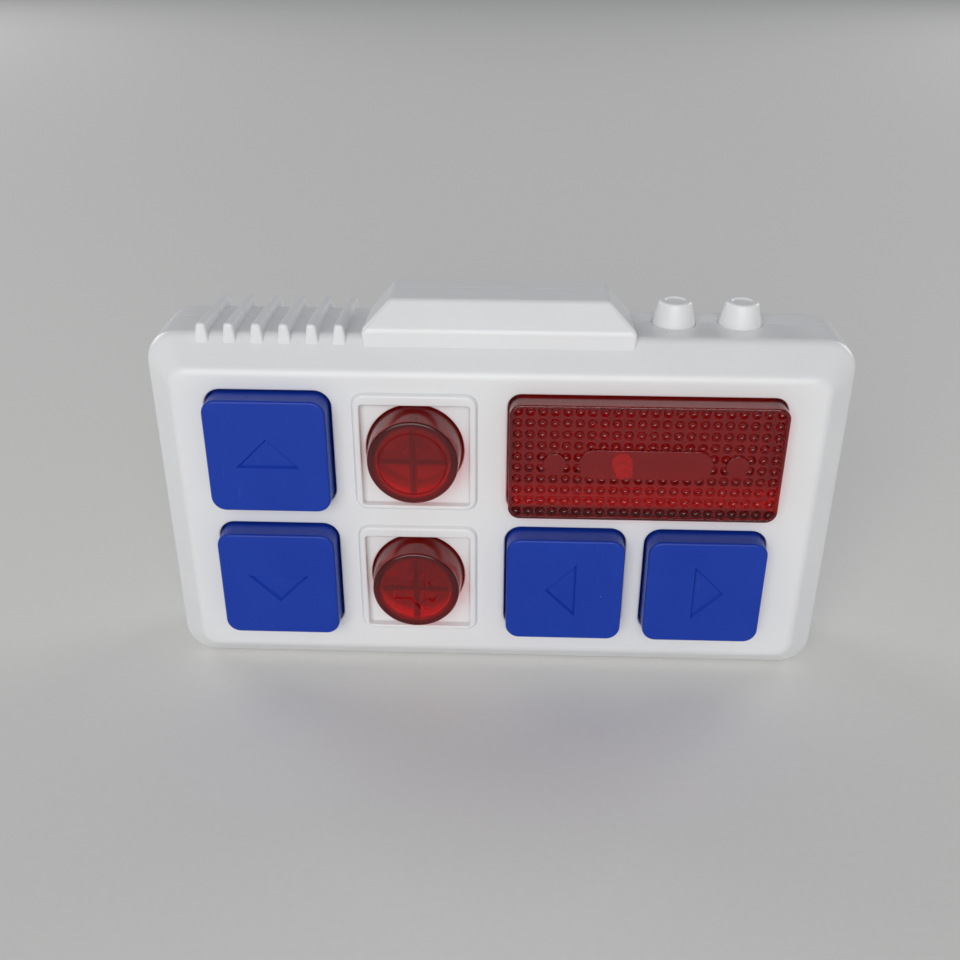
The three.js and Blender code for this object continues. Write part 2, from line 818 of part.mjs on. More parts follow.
function batteryCover() {
  const halfX = BAY.halfX + BAY_LEDGE - GAP;
  const halfZ = BAY.halfZ + BAY_LEDGE - GAP;
  const panel = plate(halfX, halfZ, 1.5, BAY.x, BAY.z, COVER_FRONT, DEPTH);
  const tab = bar(COVER_TAB.radius, COVER_TAB.x, COVER_TAB.z, COVER_FRONT, DEPTH);
  const lugs = [-15, 15].map((dx) =>
    box(BAY.x + dx - 2.5, BAY.x + dx + 2.5, 20.3, COVER_FRONT + 0.1, 40.2, 41.2),
  );
  const grips = [-4, -2, 0, 2, 4].map((dx) =>
    box(BAY.x + dx - 0.4, BAY.x + dx + 0.4, DEPTH - 0.4, DEPTH + 1, 36, 40),
  );
  const hole = bar(1.5, COVER_TAB.x, COVER_TAB.z, COVER_FRONT - 1, DEPTH + 1);
  const sink = bar(2.5, COVER_TAB.x, COVER_TAB.z, 23, DEPTH + 1);
  return cut(join(panel, tab, ...lugs), ...grips, hole, sink);
}

// ---------- assembly ----------

const part = new THREE.Group();
part.position.y = -(DEPTH - BUTTON_PROUD) / 2;

function add(name, body, finish, x = 0, z = 0) {
  const mesh = new THREE.Mesh(geometryOf(body), finish);
  mesh.name = name;
  mesh.position.set(x, 0, z);
  part.add(mesh);
}

add("front_shell", frontShell(), WHITE_PLASTIC());
add("rear_shell", rearShell(), WHITE_PLASTIC());
for (const [name, x] of Object.entries(PEG_X)) add(name, topPeg(x), WHITE_PLASTIC());

add("display_lens", displayLens(), RED_CLEAR());
for (const { name, x, z, turn } of KEYS) {
  add(name, arrowKey(turn), BLUE_PLASTIC(), x, z);
  add(name.replace("key", "dome"), switchDome(), RUBBER(), x, z);
}
for (const { name, z } of BUTTONS) {
  add(name, roundButton(), RED_CLEAR(), BUTTON_X, z);
  add(name.replace("round_button", "dome_round"), switchDome(), RUBBER(), BUTTON_X, z);
}

add("circuit_board", circuitBoard(), TAN_LAMINATE());
add("sound_chip", soundChip(), BLACK_PLASTIC());
add("signal_lamp", lamp(), RED_CLEAR());
for (const { name, x, z } of BOARD_SCREWS) {
  const seat = BOARD_BACK + GAP;
  const sizes = { tip: 3.6, seat, top: seat + 1.1, shank: 0.9, head: 1.9 };
  add(name, panScrew(x, z, sizes), STEEL());
}
for (const { name, x, z } of CASE_SCREWS) {
  const seat = CASE_SCREW_SEAT + GAP;
  const sizes = { tip: 5, seat, top: seat + 1.6, shank: 1.25, head: 2.4 };
  add(name, panScrew(x, z, sizes), STEEL());
}

add("speaker_basket", speakerBasket(), STEEL());
add("speaker_cone", speakerCone(), PAPER_CONE());
add("speaker_magnet", bar(8.5, SPEAKER.x, SPEAKER.z, 11.6, 16.6, 24), STEEL());
add("speaker_clamp", speakerClamp(), BLACK_PLASTIC());
add("clamp_screw_left", clampScrew(SPEAKER.x - SPEAKER_EAR, SPEAKER.z), STEEL());
add("clamp_screw_right", clampScrew(SPEAKER.x + SPEAKER_EAR, SPEAKER.z), STEEL());

add("cell_upper", cell(BAY_LEFT + NUB_CLEAR, -1, UPPER_Z), CELL_WRAP());
add("cell_lower", cell(BAY_RIGHT - NUB_CLEAR, 1, LOWER_Z), CELL_WRAP());
add("contact_plate", plateContact(), STEEL());
add("contact_spring", springContact(), STEEL());
add("contact_bridge", bridgeContact(), STEEL());
add("battery_cover", batteryCover(), WHITE_PLASTIC());
const coverScrew = { tip: 16, seat: 23.3, top: DEPTH - 0.05, shank: 1.2, head: 2.2 };
add("cover_screw", panScrew(COVER_TAB.x, COVER_TAB.z, coverScrew), STEEL());

const batteryLead = (z, endZ) =>
  lead([
    [BAY_LEFT - 0.1, 13.5, z],
    [-0.8, 13.5, z],
    [-2.6, 11.6, (z + endZ) / 2],
    [-3.2, 9.4, endZ],
    [-3.2, BOARD_BACK + 0.4, endZ],
  ]);
add("battery_lead_red", batteryLead(UPPER_Z, 37.5), material(0xb01818, 0.6));
add("battery_lead_black", batteryLead(LOWER_Z, 22), material(0x141414, 0.6));

const speakerLead = (startX, startZ, endX, endZ) =>
  lead([
    [startX, 17.4, startZ],
    [startX + 0.6, 15.8, startZ - 0.6],
    [(startX + endX) / 2, 12.4, (startZ + endZ) / 2],
    [endX, 9.2, endZ],
    [endX, BOARD_BACK + 0.4, endZ],
  ]);
add("speaker_lead_red", speakerLead(-21, 23.5, -17, 17), material(0xb01818, 0.6));
add("speaker_lead_black", speakerLead(-18.4, 26.5, -13, 19), material(0x141414, 0.6));

export default part;
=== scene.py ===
"""A white push-key sound box with a dotted red signal lens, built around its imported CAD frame.

Shapes are laid out in millimetres: +X right, +Y to the rear from the flat key face, +Z up from the base.
"""

import json
import math

import bpy
import bmesh
from mathutils import Matrix, Vector

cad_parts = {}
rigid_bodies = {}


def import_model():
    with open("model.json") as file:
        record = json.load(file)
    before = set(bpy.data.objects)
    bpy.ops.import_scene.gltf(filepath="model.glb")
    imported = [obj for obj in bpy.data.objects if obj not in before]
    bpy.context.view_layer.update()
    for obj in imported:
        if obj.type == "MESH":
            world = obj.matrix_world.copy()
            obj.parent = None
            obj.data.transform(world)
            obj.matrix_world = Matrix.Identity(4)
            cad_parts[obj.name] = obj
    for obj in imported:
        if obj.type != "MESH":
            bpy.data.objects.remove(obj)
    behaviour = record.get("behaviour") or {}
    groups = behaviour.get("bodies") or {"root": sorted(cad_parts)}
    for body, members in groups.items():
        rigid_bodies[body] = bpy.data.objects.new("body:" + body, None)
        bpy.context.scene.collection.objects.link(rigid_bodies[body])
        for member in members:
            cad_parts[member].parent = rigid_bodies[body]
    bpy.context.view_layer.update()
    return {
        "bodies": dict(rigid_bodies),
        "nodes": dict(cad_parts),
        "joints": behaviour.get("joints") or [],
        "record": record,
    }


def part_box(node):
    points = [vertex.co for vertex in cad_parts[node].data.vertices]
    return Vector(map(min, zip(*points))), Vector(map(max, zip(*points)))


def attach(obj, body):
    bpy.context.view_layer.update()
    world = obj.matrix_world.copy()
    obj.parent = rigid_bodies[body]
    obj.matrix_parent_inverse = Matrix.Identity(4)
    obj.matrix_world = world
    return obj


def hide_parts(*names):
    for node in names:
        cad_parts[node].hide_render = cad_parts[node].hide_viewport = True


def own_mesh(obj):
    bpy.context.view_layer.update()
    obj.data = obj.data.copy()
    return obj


MM = 0.001

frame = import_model()


# ---------- camera, first ----------

CAMERA_PLACE = (2.196, -177.38, 130.64)
CAMERA_PITCH = math.radians(-28.043)
CAMERA_YAW = math.radians(-1.743)
CAMERA_ROLL = math.radians(0.206)
CAMERA_LENS = 41.18


def make_camera():
    lens = bpy.data.cameras.new("camera")
    lens.lens = CAMERA_LENS
    lens.sensor_width = 36
    lens.clip_start = 0.01
    camera = bpy.data.objects.new("camera", lens)
    bpy.context.scene.collection.objects.link(camera)
    aim = Matrix.Rotation(-CAMERA_YAW, 4, "Z") @ Matrix.Rotation(math.pi / 2 + CAMERA_PITCH, 4, "X")
    roll = Matrix.Rotation(CAMERA_ROLL, 4, "Z")
    camera.matrix_world = Matrix.Translation(Vector(CAMERA_PLACE) * MM) @ aim @ roll
    bpy.context.scene.camera = camera


make_camera()


# ---------- driving sizes, in millimetres ----------

FRAME_PROUD = 0.8
SEAM_SHARE = 0.15  # each CAD shell stops this far from the seam
FACE_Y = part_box("front_shell")[0].y / MM + FRAME_PROUD


def cad_box(node):
    """Lowest and highest corner of a CAD node, in millimetres from the key face."""
    low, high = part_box(node)
    origin = Vector((0, FACE_Y, 0))
    return low / MM - origin, high / MM - origin


def measure(node):
    """A CAD node's lowest and highest corner, its middle and half its size."""
    low, high = cad_box(node)
    return low, high, (low + high) / 2, (high - low) / 2


def cad_middle(node):
    return measure(node)[2]


FRONT_HIGH = cad_box("front_shell")[1]
BLOCK_HEIGHT = 5.7
HALF_X = FRONT_HIGH.x
HEIGHT = FRONT_HIGH.z - BLOCK_HEIGHT
DEPTH = cad_box("rear_shell")[1].y
SEAM = FRONT_HIGH.y + SEAM_SHARE
SEAM_GAP = 0.12
WALL = 2.0
GAP = 0.3
CHAMFER = 5.1
CHAMFER_WALL = 0.83
FACE_RADIUS = 3.0
SIDE_RADIUS = 5.5
CASE_SHRINK = (SIDE_RADIUS - FACE_RADIUS) / CHAMFER
CASE_ROUND = 2.6
CORNER_STEPS = 10
ARC_STEPS = 5

FLANGE_FRONT = 2.3
FLANGE_BACK = 3.3
FLANGE_WIDTH = 1.0
MOUTH = 0.3

KEYS = {"up": 0, "down": 180, "left": 90, "right": -90}
KEY_RADIUS = 2.5
FACE_WALL = 1.5
KEY_WALL = 1.5
KEY_CLEARANCE = 0.4
ARROW_HALF_BASE = 5.0
ARROW_BASE = -1.8
ARROW_TIP = 3.2
ARROW_DEPTH = 0.45

BUTTON_FRAMES = {"upper": (35.4, 57.2), "lower": (9.9, 31.7)}
BUTTON_BASE_RADIUS = 8.15
BUTTON_FACE_RADIUS = 7.64
BUTTON_WALL = 1.3
BUTTON_FLANGE = 1.3
FRAME_LEFT = -24.5
FRAME_RIGHT = -3.5
FRAME_SIDE_RIM = 1.2
FRAME_TOP_RIM = 1.9
FRAME_LOW_RIM = 0.9
FRAME_FLOOR = 0.6

LENS_RADIUS = 2.0
LENS_SIDE_WALL = 1.0
LENS_RIM = 0.6
LENS_RECESS = 0.6
DOT_COLUMNS = 22
DOT_ROWS = 10
DOT_RADIUS = 0.86
DOT_HALF_SPAN_X = 21.6
DOT_HALF_SPAN_Z = 9.38
PAD_HALF_X = 11.2
PAD_HALF_Z = 2.7
PAD_DISC_X = 15.3
PAD_DISC_RADIUS = 1.9
CATCH_X = (9.5, 38.5)

RIB_FIRST_X = -49.8
RIB_PITCH = 4.63
RIB_COUNT = 6
RIB_FRONT = 3.6
RIB_REAR = 22.8
BLOCK_HALF = 22.8
BLOCK_TOP_HALF = 18.2
BLOCK_FRONT = 3.5
BLOCK_REAR = 17.7
BLOCK_TOP_FRONT = 6.8
BLOCK_TOP_REAR = 17.5

PEG_BASE_RADIUS = 3.7
PEG_TOP_RADIUS = 2.75
PEG_FLANGE = 1.3
PEG_DIMPLE = 0.3

CASE_SCREW_SEAT = 15.4
GRILLE_RADIUS = 15.0
GRILLE_PITCH = 4.0
GRILLE_SLOT = 2.0
GRILLE_ROWS = 7
BAY_HALF_X = 25.5
BAY_HALF_Z = 11.5
BAY_FLOOR = 10.4
BAY_WALL = 1.6
BAY_LEDGE = 0.8
LEAD_EXIT_Y = 13.5
STRIP = 0.4
SPRING_WIRE = 0.3


# ---------- mesh helpers ----------


def new_object(name, mesh):
    piece = bpy.data.objects.new(name, mesh)
    bpy.context.scene.collection.objects.link(piece)
    return piece


def mesh_object(name, points, faces):
    """An object from points in millimetres, whose y is measured from the key face."""
    mesh = bpy.data.meshes.new(name)
    origin = Vector((0, FACE_Y, 0))
    mesh.from_pydata([(Vector(p) + origin) * MM for p in points], [], faces)
    work = bmesh.new()
    work.from_mesh(mesh)
    bmesh.ops.recalc_face_normals(work, faces=work.faces)
    work.to_mesh(mesh)
    work.free()
    return new_object(name, mesh)


def polar(radius, angle, x=0.0, z=0.0):
    """The point at a radius and an angle about (x, z)."""
    return x + radius * math.cos(angle), z + radius * math.sin(angle)


def outline(half_x, half_z, radius, x, z, steps):
    """A convex outline with round corners, as (x, z) points."""
    points = []
    for corner in range(4):
        middle_x = x + (half_x - radius) * (1 if corner in (0, 3) else -1)
        middle_z = z + (half_z - radius) * (1 if corner < 2 else -1)
        for step in range(steps + 1):
            points.append(polar(radius, (corner + step / steps) * math.pi / 2, middle_x, middle_z))
    return points


def loft(name, rings):
    """A closed solid through rings of 3-D points, with a flat cap on the first and the last."""
    size = len(rings[0])
    points = [p for ring in rings for p in ring]
    faces = []
    last = len(points) - size
    for start in range(0, last, size):
        for i in range(size):
            j = (i + 1) % size
            faces.append((start + i, start + j, start + j + size, start + i + size))
    faces += [tuple(range(size)), tuple(range(last, last + size))]
    return mesh_object(name, points, faces)


def rounded(points, radius, steps=ARC_STEPS):
    """A 2-D polyline whose inner corners are rounded. radius is one number, or one for each corner."""
    radii = [radius] * (len(points) - 2) if isinstance(radius, (int, float)) else radius
    result = [points[0]]
    for i, corner_radius in enumerate(radii, start=1):
        here = Vector(points[i])
        if corner_radius <= 0:
            result.append(points[i])
            continue
        back = (Vector(points[i - 1]) - here).normalized()
        ahead = (Vector(points[i + 1]) - here).normalized()
        half = back.angle(ahead) / 2
        centre = here + (back + ahead).normalized() * (corner_radius / math.sin(half))
        first = here + back * (corner_radius / math.tan(half)) - centre
        last = here + ahead * (corner_radius / math.tan(half)) - centre
        start = math.atan2(first.y, first.x)
        span = (math.atan2(last.y, last.x) - start + math.pi) % (2 * math.pi) - math.pi
        for step in range(steps + 1):
            result.append(polar(corner_radius, start + span * step / steps, centre.x, centre.y))
    result.append(points[-1])
    return result


def prism(name, half_x, half_z, radius, centre, profile, shrink=1.0, steps=CORNER_STEPS):
    """A solid along Y with a round-cornered outline about centre, from a profile of (inset, y) points.

    shrink is how much the corner radius falls for each millimetre of inset.
    """
    rings = []
    for inset, y in profile:
        corner = max(radius - inset * shrink, 0.05)
        ring = outline(half_x - inset, half_z - inset, corner, centre.x, centre.z, steps)
        rings.append([(x, y, z) for x, z in ring])
    return loft(name, rings)


def mouth(deep, face, radius=MOUTH):
    """A cutter's profile, whose mouth at face is rounded. deep lies inside the wall."""
    side = 1 if deep > face else -1
    profile = [(0, deep)]
    for step in range(ARC_STEPS + 1):
        angle = math.pi / 2 * step / ARC_STEPS
        profile.append((radius * (math.cos(angle) - 1), face + side * radius * (1 - math.sin(angle))))
    return [*profile, (-radius - 0.001, face - side)]


AXES = {"X": (1, 2, 0), "Y": (0, 2, 1), "Z": (0, 1, 2)}


def revolve(name, profile, centre, segments=64, axis="Y"):
    """A turned solid from (radius, place on the axis) points. The profile starts and ends on the axis.

    The axis goes through centre, and places on it count from zero.
    """
    first, second, along = AXES[axis]
    points = []
    rings = []
    for radius, reach in profile:
        count = segments if radius > 1e-6 else 1
        rings.append(range(len(points), len(points) + count))
        for i in range(count):
            angle = 2 * math.pi * i / segments
            point = [0, 0, 0]
            point[first], point[second] = polar(radius, angle, centre[first], centre[second])
            point[along] = reach
            points.append(point)
    faces = []
    for low, high in zip(rings, rings[1:]):
        for i in range(segments):
            j = (i + 1) % segments
            if len(low) == 1:
                faces.append((low[0], high[i], high[j]))
            elif len(high) == 1:
                faces.append((low[i], low[j], high[0]))
            else:
                faces.append((low[i], low[j], high[j], high[i]))
    return mesh_object(name, points, faces)


def disc(radius, start, end):
    """The profile of a plain round bar."""
    return [(0, start), (radius, start), (radius, end), (0, end)]


def hole(radius, centre, deep, face, rim=MOUTH, axis="Y"):
    """A round cutter along an axis, with a rounded mouth at face."""
    profile = [(radius - inset, along) for inset, along in mouth(deep, face, rim)]
    return revolve("hole", [(0, profile[0][1]), *profile, (0, profile[-1][1])], centre, axis=axis)


def bar(radius, centre, start, end, segments=40, axis="Y"):
    """A plain round bar along an axis."""
    return revolve("bar", disc(radius, start, end), centre, segments, axis)


def box(low, high):
    corners = [(low[0], low[2]), (high[0], low[2]), (high[0], high[2]), (low[0], high[2])]
    return loft("box", [[(x, y, z) for x, z in corners] for y in (low[1], high[1])])


def apply_modifiers(piece):
    graph = bpy.context.evaluated_depsgraph_get()
    made = bpy.data.meshes.new_from_object(piece.evaluated_get(graph))
    old = piece.data
    piece.modifiers.clear()
    piece.data = made
    bpy.data.meshes.remove(old)
    return piece


def remove(pieces):
    for piece in pieces:
        mesh = piece.data
        bpy.data.objects.remove(piece)
        bpy.data.meshes.remove(mesh)


def combine(base, others, operation):
    """Joins, cuts or intersects base with each of the others in turn, then merges doubled points."""
    for other in others:
        modifier = base.modifiers.new("combine", "BOOLEAN")
        modifier.operation = operation
        modifier.solver = "EXACT"
        modifier.object = other
    apply_modifiers(base)
    remove(others)
    work = bmesh.new()
    work.from_mesh(base.data)
    bmesh.ops.remove_doubles(work, verts=work.verts, dist=0.002 * MM)
    work.to_mesh(base.data)
    work.free()
    return base


def join(base, *others):
    return combine(base, others, "UNION")


def cut(base, *others):
    return combine(base, others, "DIFFERENCE")


def gather(name, pieces):
    """One object from several that don't touch."""
    work = bmesh.new()
    for piece in pieces:
        work.from_mesh(piece.data)
    mesh = bpy.data.meshes.new(name)
    work.to_mesh(mesh)
    work.free()
    remove(pieces)
    return new_object(name, mesh)


def soften(piece, width, segments, angle=30):
    """Rounds the edges of a simple solid."""
    modifier = piece.modifiers.new("soften", "BEVEL")
    modifier.width = width * MM
    modifier.segments = segments
    modifier.limit_method = "ANGLE"
    modifier.angle_limit = math.radians(angle)
    return apply_modifiers(piece)


def tube(name, points, radius, sides=16):
    """A round closed tube along points."""
    line = [Vector(p) for p in points]
    rings = []
    across = (line[1] - line[0]).orthogonal().normalized()
    for i, point in enumerate(line):
        ahead = (line[min(i + 1, len(line) - 1)] - line[max(i - 1, 0)]).normalized()
        across = (across - ahead * across.dot(ahead)).normalized()
        other = ahead.cross(across)
        ring = []
        for side in range(sides):
            angle = 2 * math.pi * side / sides
            ring.append(point + (across * math.cos(angle) + other * math.sin(angle)) * radius)
        rings.append(ring)
    return loft(name, rings)


def smooth_route(points, steps=8):
    """Points on a smooth curve through given ones."""
    line = [Vector(p) for p in points]
    line = [2 * line[0] - line[1], *line, 2 * line[-1] - line[-2]]
    result = []
    for a, b, c, d in zip(line, line[1:], line[2:], line[3:]):
        for step in range(steps):
            t = step / steps
            cubic = (-a + 3 * b - 3 * c + d) * t**3 + (2 * a - 5 * b + 4 * c - d) * t**2
            result.append((2 * b + (c - a) * t + cubic) / 2)
    result.append(line[-2])
    return result


SHARP_ANGLE = math.radians(32)


def dress(piece, body, slot, material, *nodes):
    """Gives a finished piece its shading, material and body, and hides the CAD nodes that it stands for."""
    mesh = piece.data
    mesh.polygons.foreach_set("use_smooth", [True] * len(mesh.polygons))
    mesh.set_sharp_from_angle(angle=SHARP_ANGLE)
    normals = piece.modifiers.new("normals", "WEIGHTED_NORMAL")
    normals.keep_sharp = True
    normals.weight = 100
    mesh.materials.clear()
    mesh.materials.append(material)
    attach(piece, body)
    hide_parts(*nodes)
    return piece


# ---------- materials ----------


def shader_of(material):
    return material.node_tree.nodes["Principled BSDF"]


def new_material(name, colour, roughness, **values):
    """A Principled material. Other sockets are given by name, with _ for a space."""
    material = bpy.data.materials.new(name)
    material.use_nodes = True
    sockets = shader_of(material).inputs
    sockets["Base Color"].default_value = (*colour, 1)
    sockets["Roughness"].default_value = roughness
    for socket, value in values.items():
        sockets[socket.replace("_", " ")].default_value = value
    return material


def add(owner, kind, inputs=None, **settings):
    """A node with its settings, and its inputs given as values or as sockets to link.

    owner is the material, or any socket of it.
    """
    tree = owner.node_tree if isinstance(owner, bpy.types.Material) else owner.id_data
    node = tree.nodes.new(kind)
    for setting, value in settings.items():
        setattr(node, setting, value)
    for socket, value in (inputs or {}).items():
        if isinstance(value, bpy.types.NodeSocket):
            tree.links.new(value, node.inputs[socket])
        else:
            node.inputs[socket].default_value = value
    return node


def place(material, stretch=(1, 1, 1)):
    """Coordinates in millimetres on the piece, scaled along the axes."""
    where = add(material, "ShaderNodeTexCoord").outputs["Object"]
    scale = [s / MM for s in stretch]
    return add(material, "ShaderNodeMapping", {"Vector": where, "Scale": scale}).outputs["Vector"]


def noise(material, size, detail, stretch=(1, 1, 1)):
    """Noise from 0 to 1 whose grains are about size millimetres across."""
    inputs = {"Vector": place(material, stretch), "Scale": 1 / size, "Detail": detail}
    return add(material, "ShaderNodeTexNoise", inputs).outputs["Fac"]


def remap(value, low, high, new_low=0.0, new_high=1.0):
    """The value, moved from the range low to high into the range new_low to new_high."""
    inputs = {"Value": value, "From Min": low, "From Max": high, "To Min": new_low, "To Max": new_high}
    return add(value, "ShaderNodeMapRange", inputs).outputs["Result"]


def calculate(operation, first, second):
    return add(first, "ShaderNodeMath", {0: first, 1: second}, operation=operation).outputs[0]


def specks(material, spacing, radius, share):
    """1 on sparse round specks: one cell of size spacing in every so many, by share."""
    cells = add(material, "ShaderNodeTexVoronoi", {"Vector": place(material), "Scale": 1 / spacing})
    near = remap(cells.outputs["Distance"], radius / spacing, 0.6 * radius / spacing)
    picked = add(material, "ShaderNodeSeparateColor", {"Color": cells.outputs["Color"]})
    chosen = calculate("LESS_THAN", picked.outputs["Red"], share)
    return calculate("MULTIPLY", near, chosen)


def blend(share, first, second):
    """The first colour, turning to the second where share is 1. Each is a colour or a socket."""
    first, second = (c if isinstance(c, bpy.types.NodeSocket) else (*c, 1) for c in (first, second))
    return add(share, "ShaderNodeMix", {"Factor": share, 6: first, 7: second}, data_type="RGBA").outputs[2]


def drive(material, socket, value):
    material.node_tree.links.new(value, shader_of(material).inputs[socket])


def bump(material, height, strength, distance):
    """Relief on the whole surface: distance is its depth in millimetres."""
    inputs = {"Height": height, "Strength": strength, "Distance": distance * MM}
    drive(material, "Normal", add(material, "ShaderNodeBump", inputs).outputs["Normal"])


def sum_of(first, first_share, second, second_share):
    one = calculate("MULTIPLY", first, first_share)
    two = calculate("MULTIPLY", second, second_share)
    return calculate("ADD", one, two)


def white_plastic():
    """Glossy moulded ABS: faint flow marks, a fine mould grain and a little dust."""
    base = (0.80, 0.81, 0.825)
    material = new_material(
        "white_abs",
        base,
        0.3,
        Subsurface_Weight=0.25,
        Subsurface_Radius=(1.0, 0.9, 0.85),
        Subsurface_Scale=1.2 * MM,
    )
    tone = blend(remap(noise(material, 22, 2), 0.35, 0.7), base, (0.775, 0.785, 0.805))
    dusty = blend(specks(material, 5.5, 0.11, 0.16), tone, (0.22, 0.2, 0.18))
    drive(material, "Base Color", dusty)
    drive(material, "Roughness", remap(noise(material, 7, 2), 0.3, 0.75, 0.28, 0.34))
    bump(material, sum_of(noise(material, 12, 1), 1.0, noise(material, 0.35, 3), 0.08), 0.25, 0.04)
    return material


def blue_plastic():
    """Satin blue plastic with fine rubbed scratches and pale dust."""
    base = (0.003, 0.035, 0.355)
    material = new_material("blue_plastic", base, 0.4, Specular_IOR_Level=0.32)
    tone = remap(noise(material, 14, 2), 0.3, 0.7)
    colour = blend(tone, base, (0.004, 0.041, 0.385))
    rub = noise(material, 0.5, 5, (1.0, 1.0, 0.12))
    rubbed = blend(remap(rub, 0.66, 0.8, 0, 0.5), colour, (0.05, 0.09, 0.5))
    dusty = blend(specks(material, 4.5, 0.09, 0.2), rubbed, (0.32, 0.38, 0.6))
    drive(material, "Base Color", dusty)
    drive(material, "Roughness", remap(rub, 0.35, 0.8, 0.34, 0.5))
    bump(material, sum_of(noise(material, 0.25, 2), 0.5, rub, 0.5), 0.25, 0.03)
    return material


CLEAR_RED = (0.49, 0.016, 0.02)
DEEP_RED = (0.66, 0.012, 0.016)


def red_clear_plastic(name, smooth, dull, red=CLEAR_RED, shine=0.5):
    """Clear red polystyrene, which lets lamps light what is behind it. Its roughness is smooth to dull."""
    material = new_material(name, red, smooth, Specular_IOR_Level=shine, Transmission_Weight=0.9, IOR=1.5)
    drive(material, "Roughness", remap(noise(material, 3, 4), 0.3, 0.8, smooth, dull))
    bump(material, noise(material, 4, 2), 0.15, 0.04)
    lamp_ray = add(material, "ShaderNodeLightPath").outputs["Is Shadow Ray"]
    through = add(material, "ShaderNodeBsdfTransparent", {"Color": (0.74, 0.05, 0.055, 1)})
    shaders = {0: lamp_ray, 1: shader_of(material).outputs[0], 2: through.outputs[0]}
    both = add(material, "ShaderNodeMixShader", shaders)
    output = material.node_tree.nodes["Material Output"]
    material.node_tree.links.new(both.outputs[0], output.inputs["Surface"])
    return material


def mottled(name, grain, first, second, dull, relief, spread=None, dull_grain=None, skin=None, **values):
    """A material whose colour, roughness and relief follow noise. grain, dull_grain and skin go to noise().

    first turns to second across the noise, or across its part spread. dull is the range of roughness.
    """
    material = new_material(name, first, sum(dull) / 2, **values)
    pattern = noise(material, *grain)
    share = remap(pattern, *spread) if spread else pattern
    drive(material, "Base Color", blend(share, first, second))
    rough = noise(material, *dull_grain) if dull_grain else pattern
    drive(material, "Roughness", remap(rough, 0.3, 0.7, *dull))
    bump(material, noise(material, *skin) if skin else pattern, *relief)
    return material


def metal(name, colour, roughness, grain, stretch=(1, 1, 1)):
    """A plated or drawn metal with fine tool marks."""
    worn = tuple(0.82 * c for c in colour)
    dull = (0.75 * roughness, 1.4 * roughness)
    return mottled(name, (grain, 4, stretch), colour, worn, dull, (0.2, 0.02), (0.4, 0.8), Metallic=1.0)


def lead_insulation(name, colour):
    """Soft vinyl insulation, a little scuffed."""
    pale = tuple(0.7 * c + 0.05 for c in colour)
    return mottled(name, (0.7, 4), colour, pale, (0.35, 0.6), (0.15, 0.02), (0.5, 0.9))


WHITE = white_plastic()
BLUE = blue_plastic()
RED = red_clear_plastic("red_clear_plastic", 0.04, 0.08)
DARK_RED = lead_insulation("dark_red_plastic", (0.2, 0.01, 0.012))
LAMP_RED = red_clear_plastic("lamp_epoxy", 0.03, 0.06)
shader_of(LAMP_RED).inputs["Emission Color"].default_value = (1.0, 0.05, 0.04, 1)
shader_of(LAMP_RED).inputs["Emission Strength"].default_value = 0.2
GREY = (0.21, 0.21, 0.22)
PALE_GREY = (0.3, 0.3, 0.31)
RUBBER = mottled(
    "grey_rubber", (1.6, 4), GREY, PALE_GREY, (0.65, 0.9), (0.3, 0.03), (0.35, 0.7), (0.8, 3), (0.2, 2)
)
TAN = (0.27, 0.16, 0.065)
PALE_TAN = (0.4, 0.26, 0.12)
LAMINATE = mottled(
    "board_laminate", (0.6, 5, (0.25, 1, 1.6)), TAN, PALE_TAN, (0.3, 0.6), (0.2, 0.03), dull_grain=(5, 3)
)
NEAR_BLACK = (0.009, 0.009, 0.01)
SOOT = (0.02, 0.02, 0.021)
BLACK = mottled("black_plastic", (0.9, 3), NEAR_BLACK, SOOT, (0.28, 0.55), (0.25, 0.05), dull_grain=(2.5, 4))
SCREW_STEEL = metal("zinc_plating", (0.56, 0.57, 0.6), 0.32, 0.4)
PLATED_STEEL = metal("nickel_plating", (0.62, 0.6, 0.57), 0.25, 0.5, (1, 1, 0.1))
MAGNET = metal("sintered_magnet", (0.16, 0.16, 0.17), 0.55, 0.3)
COPPER = metal("copper_foil", (0.75, 0.4, 0.26), 0.35, 0.6)
PULP = (0.05, 0.05, 0.052)
CONE = mottled("cone_film", (0.5, 5), (0.02, 0.02, 0.022), PULP, (0.5, 0.8), (0.3, 0.05), Sheen_Weight=0.2)
GREEN = (0.02, 0.1, 0.055)
PALE_GREEN = (0.03, 0.14, 0.08)
CELL = mottled(
    "cell_wrap", (1.2, 4), GREEN, PALE_GREEN, (0.2, 0.4), (0.1, 0.03), dull_grain=(3, 3), Coat_Weight=0.4
)
RED_LEAD = lead_insulation("red_insulation", (0.4, 0.012, 0.01))
BLACK_LEAD = lead_insulation("black_insulation", (0.013, 0.013, 0.014))


# ---------- the case ----------

BIG = 200.0
SIDES = ("left", "right")
CORNERS = ("low_left", "low_right", "high_left", "high_right")
CASE_SCREWS = [cad_middle(f"case_screw_{corner}") for corner in CORNERS]
BOARD_SCREWS = [cad_middle(f"board_screw_{corner}") for corner in CORNERS]
CLAMP_SCREWS = [cad_middle(f"clamp_screw_{side}") for side in SIDES]


def body_prism(name, profile, radius=SIDE_RADIUS, shrink=1.0):
    """A solid with the case's outline."""
    return prism(name, HALF_X, HEIGHT / 2, radius, Vector((0, 0, HEIGHT / 2)), profile, shrink)


def case_outside():
    flat = CHAMFER + 4
    side = [(flat, 0), (CHAMFER, 0), (0, CHAMFER), (0, DEPTH - CHAMFER), (CHAMFER, DEPTH), (flat, DEPTH)]
    return body_prism("case", rounded(side, CASE_ROUND), SIDE_RADIUS, CASE_SHRINK)


